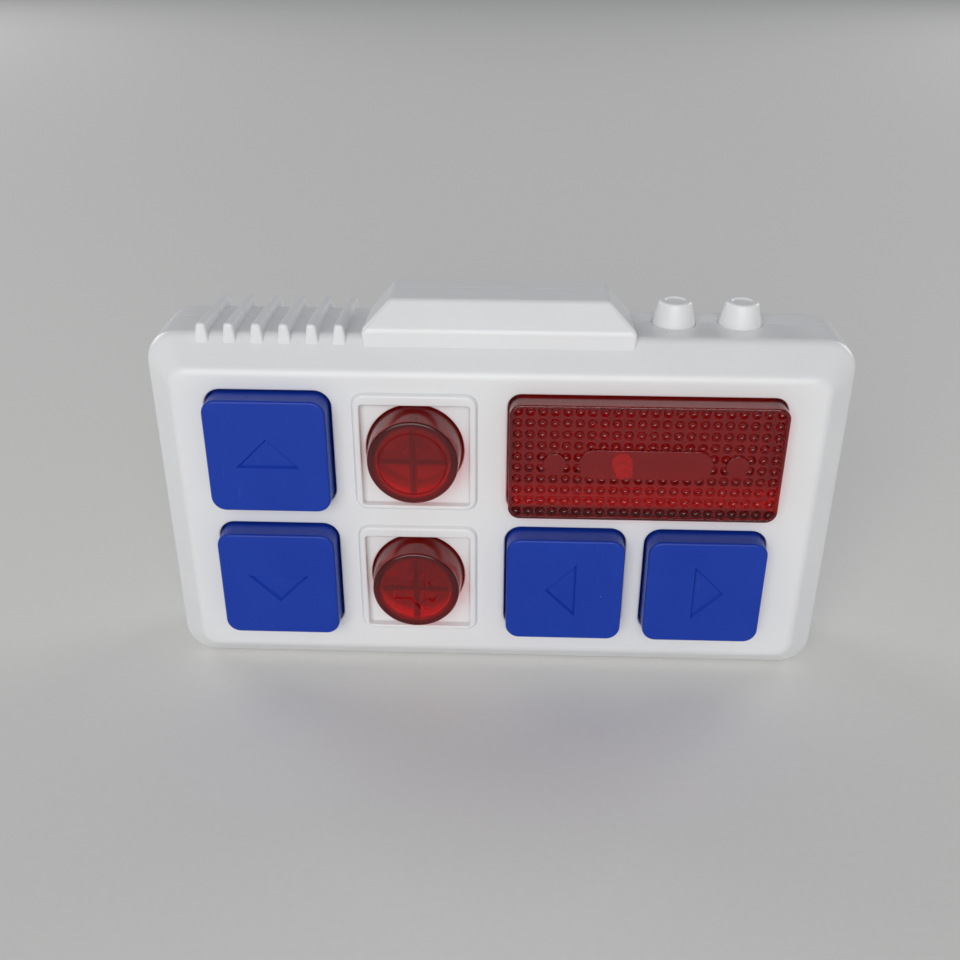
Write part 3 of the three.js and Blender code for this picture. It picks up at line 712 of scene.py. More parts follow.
def case_inside():
    flat = CHAMFER + CHAMFER_WALL
    side = [(flat, WALL), (WALL, flat), (WALL, DEPTH - flat), (flat, DEPTH - WALL)]
    return body_prism("hollow", side, SIDE_RADIUS - 1, 0.5)


def rectangle(half, y0, y1, z, x=0.0):
    return [(x + half, y0, z), (x + half, y1, z), (x - half, y1, z), (x - half, y0, z)]


def block_outside():
    """The raised block: sloping at the front and sides, upright at the rear, with a foot that fades there."""
    root = rectangle(BLOCK_HALF - 0.1, BLOCK_FRONT, BLOCK_REAR + 0.1, HEIGHT - 2.2)
    foot = rectangle(BLOCK_HALF + 0.1, BLOCK_FRONT, BLOCK_REAR, HEIGHT + 1.2)
    foot = [(x, y, z if y < SEAM else z - 0.9) for x, y, z in foot]
    top = rectangle(BLOCK_TOP_HALF, BLOCK_TOP_FRONT, BLOCK_TOP_REAR, HEIGHT + BLOCK_HEIGHT)
    return soften(loft("block", [root, foot, top]), 0.55, 4, 15)


def block_inside():
    root = rectangle(BLOCK_HALF - 2.2, 6.3, 16.8, HEIGHT - 2.5)
    foot = rectangle(BLOCK_HALF - 2.2, 6.3, 16.4, HEIGHT + 0.9)
    top = rectangle(BLOCK_TOP_HALF - 0.3, 8, 15.6, HEIGHT + BLOCK_HEIGHT - WALL)
    return loft("block_hollow", [root, foot, top])


def rib(x):
    """One tapered rib, whose ridge falls a little towards the rear."""
    foot = rectangle(1.7, RIB_FRONT, RIB_REAR, HEIGHT - 4, x)
    ridge = rectangle(0.7, RIB_FRONT + 0.3, RIB_REAR - 0.3, HEIGHT + 2, x)
    ridge = [(px, y, z if y < SEAM else z - 1.1) for px, y, z in ridge]
    return soften(loft("rib", [foot, ridge]), 0.5, 4)


def case_blank():
    ribs = [rib(RIB_FIRST_X + i * RIB_PITCH) for i in range(RIB_COUNT)]
    blank = join(case_outside(), block_outside(), *ribs)
    pegs = [cad_middle(f"top_peg_{side}") for side in SIDES]
    holes = [hole(PEG_BASE_RADIUS + 0.06, (peg.x, SEAM, 0), HEIGHT - 3, HEIGHT, 0.15, "Z") for peg in pegs]
    return cut(blank, case_inside(), block_inside(), *holes)


def halve(blank, name, keep_front):
    """One side of the seam, half the seam's gap short of it."""
    low = SEAM - SEAM_GAP / 2 if keep_front else -BIG
    high = BIG if keep_front else SEAM + SEAM_GAP / 2
    half = new_object(name, blank.data.copy())
    return cut(half, box((-BIG, low, -BIG), (BIG, high, BIG)))


def button_frame(name):
    """A raised square rim, the pocket inside it and the round hole in the pocket's floor."""
    low, high = BUTTON_FRAMES[name]
    half_x = (FRAME_RIGHT - FRAME_LEFT) / 2
    half_z = (high - low) / 2
    middle = Vector(((FRAME_LEFT + FRAME_RIGHT) / 2, 0, (high + low) / 2))
    rim_side = rounded([(2, -FRAME_PROUD), (0.15, -FRAME_PROUD), (-0.2, 0.1), (-0.2, 1)], [0.5, 0.3])
    rim = prism("rim", half_x, half_z, 2.0, middle, rim_side)
    half_x -= FRAME_SIDE_RIM
    half_z -= (FRAME_LOW_RIM + FRAME_TOP_RIM) / 2
    middle.z += (FRAME_LOW_RIM - FRAME_TOP_RIM) / 2
    pocket = prism("pocket", half_x, half_z, 0.5, middle, mouth(FRAME_FLOOR, -FRAME_PROUD, 0.25))
    button = cad_middle(f"round_button_{name}")
    opening = hole(BUTTON_BASE_RADIUS + GAP, button, WALL + 1, FRAME_FLOOR, 0.25)
    return rim, pocket, opening


def inside_flange(name, node, grow, radius, side):
    """A solid along Y with the outline of a flanged CAD node, grown all round. The flange is left out."""
    _, _, middle, half = measure(node)
    shift = grow - FLANGE_WIDTH
    return prism(name, half.x + shift, half.z + shift, radius + grow, middle, side)


def front_case(blank):
    case = halve(blank, "front_case", True)
    frames = [button_frame(name) for name in BUTTON_FRAMES]
    bosses = [bar(2.6, spot, WALL - 0.1, SEAM - 0.15) for spot in CASE_SCREWS]
    posts = gather("posts", [bar(2.2, spot, WALL - 0.1, 5.4) for spot in BOARD_SCREWS])
    combine(posts, [case_outside()], "INTERSECT")
    join(case, posts, *bosses, *[frame[0] for frame in frames])
    cutters = [piece for frame in frames for piece in frame[1:]]
    side = mouth(WALL + 1, 0)
    cutters += [inside_flange("key_hole", f"key_{name}", KEY_CLEARANCE, KEY_RADIUS, side) for name in KEYS]
    cutters.append(inside_flange("lens_hole", "display_lens", GAP, LENS_RADIUS, mouth(WALL + 1, 0, 0.25)))
    cutters += [bar(1.55, spot, 4.5, SEAM + 1) for spot in CASE_SCREWS]
    cutters += [bar(1.2, spot, 3.3, 7) for spot in BOARD_SCREWS]
    cut(case, *cutters)
    dress(case, "case", "white_plastic", WHITE, "front_shell")


def seam_lip():
    """The tongue that locates the rear case inside the front case."""
    inset = WALL + GAP
    low, high = SEAM - 2, SEAM + 1.2
    outside = body_prism("lip", [(inset, low), (inset, high)])
    foot = body_prism("foot", [(WALL - 0.1, SEAM + 0.15), (WALL - 0.1, high)])
    hollow = body_prism("lip_hollow", [(inset + 1, low - 1), (inset + 1, high + 1)])
    notch = box((24.2, 0, HEIGHT - 4.5), (47.2, DEPTH, HEIGHT))
    return cut(join(outside, foot), hollow, notch)


def grille_slot(row):
    speaker = cad_middle("speaker_cone")
    offset = (row - (GRILLE_ROWS - 1) / 2) * GRILLE_PITCH
    half = math.sqrt(GRILLE_RADIUS**2 - offset**2)
    side = mouth(DEPTH - WALL - 1, DEPTH, 0.35)
    round_end = GRILLE_SLOT / 2 - 0.01
    return prism("slot", half, GRILLE_SLOT / 2, round_end, speaker + Vector((0, 0, offset)), side)


def cell_bay():
    """The cells' box, and what is cut out of it and the rear wall."""
    _, high, middle, _ = measure("battery_cover")
    middle.z = high.z - BAY_HALF_Z - BAY_LEDGE + GAP
    bay = [(0, BAY_FLOOR - 1.4), (0, DEPTH - WALL + 0.1)]
    walls = prism("bay", BAY_HALF_X + BAY_WALL, BAY_HALF_Z + BAY_WALL, 1.5, middle, bay)
    hollow = prism("bay_hollow", BAY_HALF_X, BAY_HALF_Z, 0.8, middle, [(0, BAY_FLOOR), (0, DEPTH + 1)])
    ledge = mouth(DEPTH - WALL, DEPTH, 0.25)
    opening = prism("cover_opening", BAY_HALF_X + BAY_LEDGE, BAY_HALF_Z + BAY_LEDGE, 1.8, middle, ledge)
    screw = cad_middle("cover_screw")
    boss = bar(4.9, screw, 14, DEPTH - WALL + 0.1)
    pilot = bar(1.5, screw, 15.5, DEPTH)
    tab = hole(3.6 + GAP, screw, DEPTH - WALL, DEPTH, 0.25)
    start = middle.x - BAY_HALF_X - BAY_WALL - 0.7
    levels = [cad_middle(f"cell_{name}").z for name in ("upper", "lower")]
    lead_holes = [bar(0.9, (0, LEAD_EXIT_Y, level), start, start + 3, 24, "X") for level in levels]
    return [walls, boss], [hollow, opening, pilot, tab, *lead_holes]


def rear_case(blank):
    case = halve(blank, "rear_case", False)
    bay, bay_cutters = cell_bay()
    bosses = [bar(3.9, spot, SEAM + GAP, DEPTH - WALL + 0.1) for spot in CASE_SCREWS]
    posts = [bar(2.6, ear, 20.9, DEPTH - WALL + 0.1) for ear in CLAMP_SCREWS]
    shelf = box((25, 9, HEIGHT - 4.8), (46.5, DEPTH - WALL + 0.1, HEIGHT - 3.6))
    join(case, seam_lip(), *bay, *bosses, *posts, shelf)
    cutters = [grille_slot(row) for row in range(GRILLE_ROWS)]
    cutters += [hole(2.8, spot, CASE_SCREW_SEAT, DEPTH) for spot in CASE_SCREWS]
    cutters += [bar(1.55, spot, SEAM - 1, DEPTH, 36) for spot in CASE_SCREWS]
    cutters += [bar(1.3, ear, 20, DEPTH - 1) for ear in CLAMP_SCREWS]
    cut(case, *bay_cutters, *cutters)
    dress(case, "case", "white_plastic", WHITE, "rear_shell")


# ---------- keys, buttons, lens and pegs ----------


def triangle(grow, y, middle, degrees):
    """The arrow mark's three corners, grown outward about the triangle's inner circle."""
    height = ARROW_TIP - ARROW_BASE
    inner = ARROW_HALF_BASE * height / (ARROW_HALF_BASE + math.hypot(ARROW_HALF_BASE, height))
    hub = ARROW_BASE + inner
    scale = 1 + grow / inner
    sine, cosine = math.sin(math.radians(degrees)), math.cos(math.radians(degrees))
    points = []
    for x, z in ((-ARROW_HALF_BASE, ARROW_BASE), (ARROW_HALF_BASE, ARROW_BASE), (0, ARROW_TIP)):
        across, up = x * scale, (z - hub) * scale + hub
        points.append((middle.x + across * cosine - up * sine, y, middle.z + across * sine + up * cosine))
    return points


def flanged_side(face, wall, round_front, round_flange, round_inside):
    """The profile of a hollow box with a thick face and a flange round its open back."""
    side = [(2, face), (0, face), (0, FLANGE_FRONT), (-FLANGE_WIDTH, FLANGE_FRONT)]
    inside = face + FACE_WALL
    side += [(-FLANGE_WIDTH, FLANGE_BACK), (wall, FLANGE_BACK), (wall, inside), (wall + 1, inside)]
    return rounded(side, [round_front, *[round_flange] * 4, round_inside])


def arrow_key(name, degrees):
    """A hollow square key with a plunger and an engraved arrow."""
    node = f"key_{name}"
    middle = cad_middle(node)
    face = cad_box(node)[0].y
    profile = flanged_side(face, KEY_WALL, 0.45, 0.1, 0.4)
    key = inside_flange(f"arrow_key_{name}", node, 0, KEY_RADIUS, profile)
    join(key, bar(2.5, middle, face + FACE_WALL - 0.3, FLANGE_BACK))
    steps = [(0.2, face - 0.5), (0.2, face), (-0.13, face + ARROW_DEPTH)]
    cut(key, loft("mark", [triangle(grow, y, middle, degrees) for grow, y in steps]))
    dress(key, f"{name}_key", "blue_plastic", BLUE, node)


def engraving(points, centre, taper, middle, face):
    """A cutter with sloping sides, from (x, z) points. It narrows towards centre by the share taper."""
    rings = []
    for y, scale in ((face - 0.5, 1), (face, 1), (face + 0.35, 1 - taper)):
        rings.append([(middle.x + centre + (x - centre) * scale, y, middle.z + z * scale) for x, z in points])
    return loft("engraving", rings)


def speaker_symbol(middle, face):
    """Cutters for a plain loudspeaker symbol: a box with a flare, and one arc."""
    body = [(-4.0, -1.8), (-1.0, -1.8), (0.8, -4.0), (1.6, -4.0)]
    flare = body + [(x, -z) for x, z in reversed(body)]
    turns = [math.radians(-52 + 104 * step / 12) for step in range(13)]
    outer = [polar(3.1, turn, 0.8) for turn in turns]
    inner = [polar(2.1, turn, 0.8) for turn in reversed(turns)]
    return [engraving(flare, 0, 0.1, middle, face), engraving(outer + inner, 3.3, 0.12, middle, face)]


def round_cap(name):
    """A clear hollow cap, pressed on a dark cross that reaches back to the dome."""
    node = f"round_button_{name}"
    face = cad_box(node)[0].y
    middle = cad_middle(node)
    back = face + BUTTON_WALL
    groove = [(5.5, face), (5.6, face + 0.14), (5.75, face + 0.14), (5.85, face)] if name == "upper" else []
    wide, narrow = BUTTON_BASE_RADIUS, BUTTON_FACE_RADIUS
    side = [(0, face), *groove, (narrow, face), (wide, FRAME_FLOOR), (wide, FLANGE_FRONT)]
    side += [(wide + BUTTON_FLANGE, FLANGE_FRONT), (wide + BUTTON_FLANGE, FLANGE_BACK)]
    side += [(wide - BUTTON_WALL, FLANGE_BACK), (narrow - BUTTON_WALL, back), (0, back)]
    profile = rounded(side, [0] * len(groove) + [0.5, 0, 0.1, 0.1, 0.1, 0.1, 0.5])
    cap = revolve(f"round_cap_{name}", profile, middle, 96)
    long, thin = narrow - BUTTON_WALL - 0.1, 0.5
    cross = box((middle.x - long, back, middle.z - thin), (middle.x + long, back + 3, middle.z + thin))
    upright = box((middle.x - thin, back, middle.z - long), (middle.x + thin, back + 3, middle.z + long))
    join(cross, upright, bar(2, middle, back + 2, FLANGE_BACK))
    cross.name = f"cap_cross_{name}"
    dress(cross, f"{name}_button", "red_clear_plastic", DARK_RED)
    if name == "lower":
        cut(cap, *speaker_symbol(middle, face))
    # the cap's red carries painted shade and painted light, added below
    red = red_clear_plastic(f"cap_red_painted_light_and_shade_{name}", 0.13, 0.18, DEEP_RED, 0.12)
    paint_cap_shade_and_light(red, middle)
    dress(cap, f"{name}_button", "red_clear_plastic", red, node)


def paint_cap_shade_and_light(material, middle):
    """Paints shade into the red where the thick skirt lies behind the cap's face, and paints light into its
    lower half as a brighter red.
    """
    points = {0: place(material, (1, 0, 1)), 1: (middle.x, 0, middle.z)}
    away = add(material, "ShaderNodeVectorMath", points, operation="DISTANCE").outputs["Value"]
    # painted shade: a darker red ring over the skirt
    painted_shade_ring = calculate("MULTIPLY", remap(away, 6.1, 6.7), remap(away, 7.66, 7.5))
    height = add(material, "ShaderNodeSeparateXYZ", {0: place(material)}).outputs["Z"]
    # painted light: the red turns brighter towards the cap's lower half
    inner = blend(remap(height, middle.z + 1, middle.z - 5), DEEP_RED, (0.95, 0.012, 0.016))
    drive(material, "Base Color", blend(painted_shade_ring, inner, (0.26, 0.007, 0.013)))


def lens_dots(middle, floor):
    """The round pits of the lens, in one object: each is a steep cone, a bowl and a small hole."""
    wall = [(1, -0.3), (1, 0), (0.95, 0.04), (0.66, 0.42)]
    bowl = [(0.56, 0.52), (0.43, 0.585), (0.28, 0.62), (0.24, 0.82), (0, 0.82)]
    profile = [(0, floor - 0.3)] + [(share * DOT_RADIUS, floor + deep) for share, deep in wall + bowl]
    dots = []
    for row in range(DOT_ROWS):
        z = middle.z + DOT_HALF_SPAN_Z * (1 - 2 * row / (DOT_ROWS - 1))
        for column in range(DOT_COLUMNS):
            x = middle.x + DOT_HALF_SPAN_X * (2 * column / (DOT_COLUMNS - 1) - 1)
            dots.append(revolve("dot", profile, (x, 0, z), 16))
    return gather("dots", dots)


def signal_lens():
    """A clear box with a rim round a field of pits, and three plain raised pads."""
    node = "display_lens"
    low, _, middle, _ = measure(node)
    face = low.y
    floor = face + LENS_RECESS
    lens = inside_flange("signal_lens", node, 0, LENS_RADIUS, flanged_side(face, LENS_SIDE_WALL, 0.3, 0, 0.3))
    cut(lens, inside_flange("recess", node, -LENS_RIM, LENS_RADIUS, mouth(floor, face, 0.12)))
    cut(lens, lens_dots(middle, floor))
    pad_side = rounded([(1, face + 0.05), (0, face + 0.05), (0, floor + 0.84)], 0.12)
    pads = [prism("pad", PAD_HALF_X, PAD_HALF_Z, PAD_HALF_Z - 0.01, middle, pad_side)]
    radius = PAD_DISC_RADIUS
    for offset in (-PAD_DISC_X, PAD_DISC_X):
        spot = middle + Vector((offset, 0, 0))
        pads.append(prism("round_pad", radius, radius, radius - 0.01, spot, pad_side))
    bottom = low.z + FLANGE_WIDTH + 0.8
    catches = [box((x - 0.4, face + 1.3, bottom), (x + 0.4, FLANGE_BACK, bottom + 1.7)) for x in CATCH_X]
    join(lens, *pads, *catches)
    # paints shade and light into the lens's red
    paint_lens_light_and_shade(RED, bottom)
    dress(lens, "case", "red_clear_plastic", RED, node)


def paint_lens_light_and_shade(material, bottom):
    """Painted shade as a deep red foot over the thick flange, painted light as a brighter red strip above it,
    and the plain red over that.
    """
    height = add(material, "ShaderNodeSeparateXYZ", {0: place(material)}).outputs["Z"]
    # painted light: a brighter red strip low on the lens
    painted_light_strip = remap(height, bottom + 6.5, bottom + 2.5)
    # painted shade: a deep red foot over the flange
    foot = remap(height, bottom + 1.5, bottom + 1.2)
    upper = blend(painted_light_strip, CLEAR_RED, (0.98, 0.014, 0.016))
    drive(material, "Base Color", blend(foot, upper, (0.3, 0.01, 0.014)))


def top_peg(side):
    """A turned peg with a dimpled end and a flange that the case traps."""
    node = f"top_peg_{side}"
    low, high, middle, _ = measure(node)
    wide, narrow = PEG_BASE_RADIUS, PEG_TOP_RADIUS
    profile = [(0, low.z), (wide + PEG_FLANGE, low.z), (wide + PEG_FLANGE, low.z + 1), (wide, low.z + 1)]
    profile += [(wide, HEIGHT), (narrow, high.z), (narrow - 0.85, high.z)]
    profile += [(narrow - 1.2, high.z - PEG_DIMPLE), (0, high.z - PEG_DIMPLE)]
    peg = revolve(f"peg_{side}", rounded(profile, [0.1, 0.1, 0, 0, 0.45, 0.15, 0.3]), middle, axis="Z")
    dress(peg, "case", "white_plastic", WHITE, node)


# ---------- switches and electronics ----------


def rubber_dome(name):
    """A hollow rubber dome under its key."""
    node = f"dome_{name}"
    low, high, middle, _ = measure(node)
    top, foot = low.y, high.y
    outside = [(0, top), (2.4, top), (4.0, foot - 0.4), (4.8, foot - 0.4), (4.8, foot)]
    inside = [(3.5, foot), (1.9, top + 0.6), (0, top + 0.6)]
    profile = rounded(outside + inside, [0.4, 0.3, 0.1, 0.05, 0.2, 0.3])
    dome = turned_piece(f"rubber_dome_{name}", node, profile, "grey_rubber", RUBBER, 48)
    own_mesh(dome)


def circuit_board():
    low, high, middle, half = measure("circuit_board")
    side = rounded([(1, low.y), (0, low.y), (0, high.y), (1, high.y)], 0.1, 2)
    board = prism("board", half.x, half.z, 1.0, middle, side, 0.5)
    cut(board, *[bar(1.2, spot, low.y - 1, high.y + 1, 32) for spot in BOARD_SCREWS])
    dress(board, "case", "board_laminate", LAMINATE, "circuit_board")


def switch_pads():
    """Copper contact rings under the domes, lying on the board's face."""
    front = cad_box("circuit_board")[0].y
    for node in [f"dome_{name}" for name in (*KEYS, "round_upper", "round_lower")]:
        middle = cad_middle(node)
        ring = bar(2.6, middle, front - 0.05, front + 0.02)
        cut(ring, bar(1.7, middle, front - 1, front + 1))
        join(ring, bar(1.1, middle, front - 0.05, front + 0.02))
        ring.name = f"contact_ring_{node}"
        dress(ring, "case", "plated_steel", COPPER)


def turned_piece(name, node, profile, slot, material, segments=64):
    """A piece turned about the Y direction through a CAD node's middle."""
    return dress(revolve(name, profile, cad_middle(node), segments), "case", slot, material, node)


def electronics():
    """The board's sound chip under its resin, and the lamp behind the lens."""
    low, high = cad_box("sound_chip")
    blob = [(0, low.y), (4.5, low.y), (4.3, low.y + 0.45)]
    blob += [(3.3, high.y - 0.25), (1.6, high.y - 0.02), (0, high.y)]
    turned_piece("potted_chip", "sound_chip", rounded(blob, [0.05, 0.3, 1.2, 1.5]), "black_plastic", BLACK)
    low, high = cad_box("signal_lamp")
    turns = [math.pi / 20 * i for i in range(11)]
    dome = [(1.5 * math.sin(turn), low.y + 1.5 * (1 - math.cos(turn))) for turn in turns]
    base = [(1.5, high.y - 1), (1.8, high.y - 1), (1.8, high.y), (0, high.y)]
    turned_piece("lamp", "signal_lamp", [*dome, *base], "red_clear_plastic", LAMP_RED)


def ridged_shank(seat, radius):
    """Half profile of a screw's shank, from its tip at 0, with ridges for its thread."""
    point, pitch = 0.9, 0.55
    profile = [(0, 0), (0.25 * radius, 0), (0.72 * radius, point)]
    for turn in range(int((seat - point - 0.4) / pitch)):
        y = point + turn * pitch
        profile += [(0.74 * radius, y + 0.08), (radius, y + 0.5 * pitch), (0.74 * radius, y + 0.92 * pitch)]
    return profile


def screw(node, body, radius, head, thickness, recess, flip=False):
    """A pan-head screw with a cross recess. head is the head's radius. flip points the tip to the rear."""
    low, high, middle, _ = measure(node)
    top = high.y - low.y
    seat = top - thickness
    rim = top - 0.5 * thickness
    head_side = [(0.74 * radius, seat), (head, seat), (head, rim), (0.55 * head, top), (0, top)]
    profile = ridged_shank(seat, radius) + rounded(head_side, [0.08, 0.25 * thickness, 0.6 * thickness])
    turn = -1 if flip else 1
    start = high.y if flip else low.y
    placed = [(r, start + turn * y) for r, y in profile]
    piece = revolve(f"{node}_turned", placed, middle, 40)
    above = start + turn * (top + 0.2)
    deep = start + turn * (top - recess)
    for angle in (0, 90):
        cut(piece, cross_slot(middle, above, deep, 0.62 * head, angle))
    dress(piece, body, "screw_steel", SCREW_STEEL, node)


def cross_slot(middle, y_out, y_deep, reach, degrees):
    """One tapered bar of a cross recess."""
    rings = []
    for y, half_long, half_wide in ((y_out, reach, 0.26), (y_deep, 0.45 * reach, 0.14)):
        if degrees:
            half_long, half_wide = half_wide, half_long
        corners = [(1, 1), (-1, 1), (-1, -1), (1, -1)]
        rings.append([(middle.x + a * half_long, y, middle.z + b * half_wide) for a, b in corners])
    return loft("cross", rings)


def screws():
    for corner in CORNERS:
        screw(f"board_screw_{corner}", "case", 0.9, 1.9, 1.1, 0.7)
        screw(f"case_screw_{corner}", "case", 1.25, 2.4, 1.6, 1.1)
    for side in SIDES:
        screw(f"clamp_screw_{side}", "case", 1.0, 2.0, 1.1, 0.7, flip=True)
    screw("cover_screw", "cover", 1.2, 2.2, 0.65, 0.55)


# ---------- loudspeaker ----------


def loudspeaker():
    basket = [(0, 16.9), (10, 16.9), (15.4, 20.9), (18, 20.9)]
    basket += [(18, 21.7), (15.8, 21.7), (15, 21.3), (9.6, 17.7), (0, 17.7)]
    profile = rounded(basket, [0.5, 0.6, 0.15, 0.15, 0.1, 0.4, 0.6])
    turned_piece("basket", "speaker_basket", profile, "plated_steel", PLATED_STEEL, 96)
    front = [(0, 20.6), (1.6, 20.35), (3.2, 19.7), (4.4, 18.75), (5.2, 18.95), (8, 19.75), (11.2, 20.75)]
    waves = [(12, 21.35), (12.8, 20.95), (13.6, 21.5), (14.4, 21.65)]
    shell = front + waves
    film = [(r, y - 0.22) for r, y in reversed(shell)]
    film[-1] = (0, 20.38)
    cone = rounded(shell + film, [0.35] * 9 + [0.1, 0.1] + [0.35] * 9)
    turned_piece("cone", "speaker_cone", cone, "cone_film", CONE, 96)
    low, high = cad_box("speaker_magnet")
    magnet = rounded(disc(8.5, low.y, high.y), 0.4)
    turned_piece("magnet", "speaker_magnet", magnet, "plated_steel", MAGNET)
    speaker_clamp()


def speaker_clamp():
    low, high, middle, _ = measure("speaker_clamp")
    ring = revolve("clamp_ring", rounded(disc(18.6, low.y, high.y), 0.25), middle, 96)
    join(ring, *[revolve("lug", rounded(disc(3.1, low.y, high.y), 0.25), ear, 40) for ear in CLAMP_SCREWS])
    holes = [bar(1.3, ear, low.y - 1, high.y + 1) for ear in CLAMP_SCREWS]
    cut(ring, bar(16.2, middle, low.y - 1, high.y + 1, 90), *holes)
    dress(ring, "case", "black_plastic", BLACK, "speaker_clamp")


# ---------- cells, contacts, cover and leads ----------


def cell(name, direction):
    """An AAA cell whose nub points along direction (1 or -1)."""
    node = f"cell_{name}"
    low, high, middle, half = measure(node)
    length = high.x - low.x
    radius = half.z
    front = [(0, 0), (1.9, 0), (1.9, 0.8), (radius - 0.2, 0.8), (radius - 0.2, 1.1), (radius, 1.3)]
    back = [(radius, length - 1.2), (radius - 0.15, length - 1.0), (radius - 0.15, length), (0, length)]
    profile = rounded(front + back, [0.35, 0.1, 0.1, 0, 0.1, 0.1, 0, 0.35])
    nub = high.x if direction > 0 else low.x
    placed = [(r, nub - direction * along) for r, along in profile]
    piece = revolve(f"battery_{name}", placed, middle, axis="X")
    dress(piece, "case", "cell_wrap", CELL, node)


def spring(start_x, end_x, centre):
    """A conical spring of wire along X, wide at its start."""
    turns, steps = 4.5, 90
    points = []
    for step in range(steps + 1):
        share = step / steps
        across = polar(3.6 + (2.0 - 3.6) * share, 2 * math.pi * turns * share, centre.y, centre.z)
        points.append((start_x + (end_x - start_x) * share, *across))
    return tube("coil", points, SPRING_WIRE, 10)


def contact(name, node, low, high, *details):
    """A stamped strip, with its dimple or spring joined on."""
    strip = box(low, high)
    strip.name = name
    soften(strip, 0.08, 2)
    for detail in details:
        join(strip, detail)
    dress(strip, "case", "plated_steel", PLATED_STEEL, node)


def contacts():
    upper, lower = cad_middle("cell_upper"), cad_middle("cell_lower")
    back = STRIP + SPRING_WIRE

    node = "contact_plate"
    low, high = cad_box(node)
    contact("nub_contact", node, low, (low.x + STRIP, high.y, high.z), dimple(low.x + 0.3, high.x, upper))

    node = "contact_spring"
    low, high = cad_box(node)
    coil = spring(low.x + back, high.x - SPRING_WIRE, lower)
    contact("spring_contact", node, low, (low.x + STRIP, high.y, high.z), coil)

    node = "contact_bridge"
    low, high = cad_box(node)
    nub = dimple(high.x - 0.3, cad_box("cell_lower")[1].x + GAP, lower)
    coil = spring(high.x - back, low.x + SPRING_WIRE, upper)
    contact("bridge_contact", node, (high.x - STRIP, low.y, low.z), high, nub, coil)


def dimple(from_x, to_x, centre):
    profile = [(0, from_x), (2.2, from_x), (2.0, from_x + 0.4 * (to_x - from_x)), (1.2, to_x), (0, to_x)]
    return revolve("dimple", profile, centre, 32, "X")


def battery_cover():
    low, high, middle, half = measure("battery_cover")
    half_z = BAY_HALF_Z + BAY_LEDGE - GAP
    middle.z = high.z - half_z
    front = DEPTH - WALL + GAP
    side = rounded([(1, front), (0, front), (0, DEPTH), (1, DEPTH)], [0.1, 0.25])
    cover = prism("cover_panel", half.x, half_z, 1.5, middle, side, 0.8)
    screw_at = cad_middle("cover_screw")
    tab = revolve("tab", rounded(disc(3.6, front, DEPTH), [0.1, 0.25]), screw_at)
    lugs = []
    for x in (middle.x - 15, middle.x + 15):
        lugs.append(box((x - 2.5, low.y, high.z - 1.6), (x + 2.5, front + 0.1, high.z - 0.6)))
    join(cover, tab, *lugs)
    grips = []
    for index in range(7):
        spot = Vector((middle.x + (index - 3) * 1.8, 0, high.z - 4))
        grips.append(prism("grip", 0.35, 2.2, 0.34, spot, mouth(DEPTH - 0.45, DEPTH, 0.2), 1.0, 6))
    sink = hole(2.5, screw_at, 23, DEPTH, 0.25)
    cut(cover, *grips, bar(1.5, screw_at, front - 1, DEPTH + 1), sink)
    dress(cover, "cover", "white_plastic", WHITE, "battery_cover")


def leads():
    """Insulated leads along the CAD routes."""
    board = cad_box("circuit_board")[1].y + 0.4
    bay_left = cad_box("contact_plate")[0].x - GAP
    routes = {}
    for colour, cell_name, end_z in (("red", "upper", 37.5), ("black", "lower", 22)):
        z = cad_middle(f"cell_{cell_name}").z
        bay = [(bay_left - 0.1, LEAD_EXIT_Y, z), (-0.8, LEAD_EXIT_Y, z), (-2.6, 11.6, (z + end_z) / 2)]
        routes[f"battery_lead_{colour}"] = [*bay, (-3.2, 9.4, end_z), (-3.2, board, end_z)]
    for colour, x, z, end_x, end_z in (("red", -21, 23.5, -17, 17), ("black", -18.4, 26.5, -13, 19)):
        basket = [(x, 17.4, z), (x + 0.6, 15.8, z - 0.6), ((x + end_x) / 2, 12.4, (z + end_z) / 2)]
        routes[f"speaker_lead_{colour}"] = [*basket, (end_x, 9.2, end_z), (end_x, board, end_z)]
    finishes = {"red": ("red_insulation", RED_LEAD), "black": ("black_plastic", BLACK_LEAD)}
    for node, points in routes.items():
        wire = tube(f"{node}_wire", smooth_route(points), 0.5)
        dress(wire, "case", *finishes[node.split("_")[-1]], node)


# ---------- assembly ----------

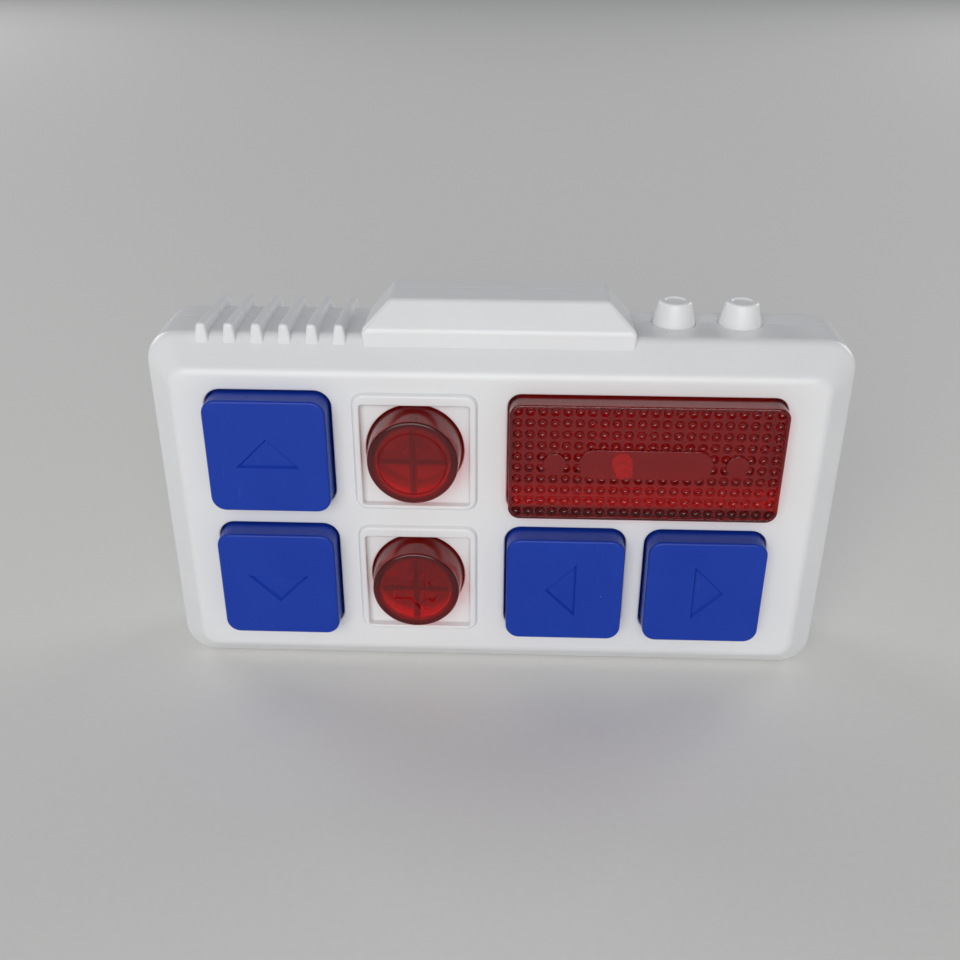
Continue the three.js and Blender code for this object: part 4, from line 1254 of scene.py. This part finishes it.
blank = case_blank()
front_case(blank)
rear_case(blank)
remove([blank])
for key_name, key_turn in KEYS.items():
    arrow_key(key_name, key_turn)
    rubber_dome(key_name)
for cap_name in BUTTON_FRAMES:
    round_cap(cap_name)
    rubber_dome(f"round_{cap_name}")
signal_lens()
for peg_side in SIDES:
    top_peg(peg_side)
circuit_board()
switch_pads()
electronics()
screws()
loudspeaker()
cell("upper", -1)
cell("lower", 1)
contacts()
battery_cover()
leads()


# ---------- studio ----------

FLOOR_REACH = 4000


def studio_floor():
    """A wide pale floor with a fine matt texture."""
    colours = (0.76, 0.755, 0.74), (0.8, 0.795, 0.78)
    dull, relief = (0.65, 0.85), (0.1, 0.05)
    more = {"dull_grain": (6, 3), "Specular_IOR_Level": 0.2}
    material = mottled("studio_floor", (1.4, 3), *colours, dull, relief, **more)
    corners = [(x * FLOOR_REACH, y * FLOOR_REACH, 0) for x, y in ((-1, -1), (1, -1), (1, 1), (-1, 1))]
    floor = mesh_object("floor", corners, [(0, 1, 2, 3)])
    floor.data.materials.append(material)


def softbox(name, spot, width, height, power, colour=(1, 1, 1)):
    """A rectangular lamp that faces the middle of the case. Places and sizes are in metres."""
    lamp = bpy.data.lights.new(name, "AREA")
    lamp.shape = "RECTANGLE"
    lamp.size = width
    lamp.size_y = height
    lamp.energy = power
    lamp.color = colour
    holder = bpy.data.objects.new(name, lamp)
    bpy.context.scene.collection.objects.link(holder)
    holder.location = spot
    holder.rotation_euler = (Vector((0, 0, 0.035)) - Vector(spot)).to_track_quat("-Z", "Y").to_euler()


def studio_light():
    world = bpy.data.worlds.new("studio")
    bpy.context.scene.world = world
    world.use_nodes = True
    background = world.node_tree.nodes["Background"]
    background.inputs["Color"].default_value = (0.93, 0.96, 1.0, 1)
    background.inputs["Strength"].default_value = 0.25
    softbox("window", (-0.15, -1.35, 0.62), 1.4, 0.9, 15, (1.0, 0.985, 0.96))
    softbox("right_fill", (1.25, 0.95, 0.5), 0.8, 0.8, 6.5)
    softbox("left_fill", (-1.25, 0.95, 0.5), 0.8, 0.8, 6.5)
    bpy.context.scene.view_settings.view_transform = "Standard"


studio_floor()
studio_light()
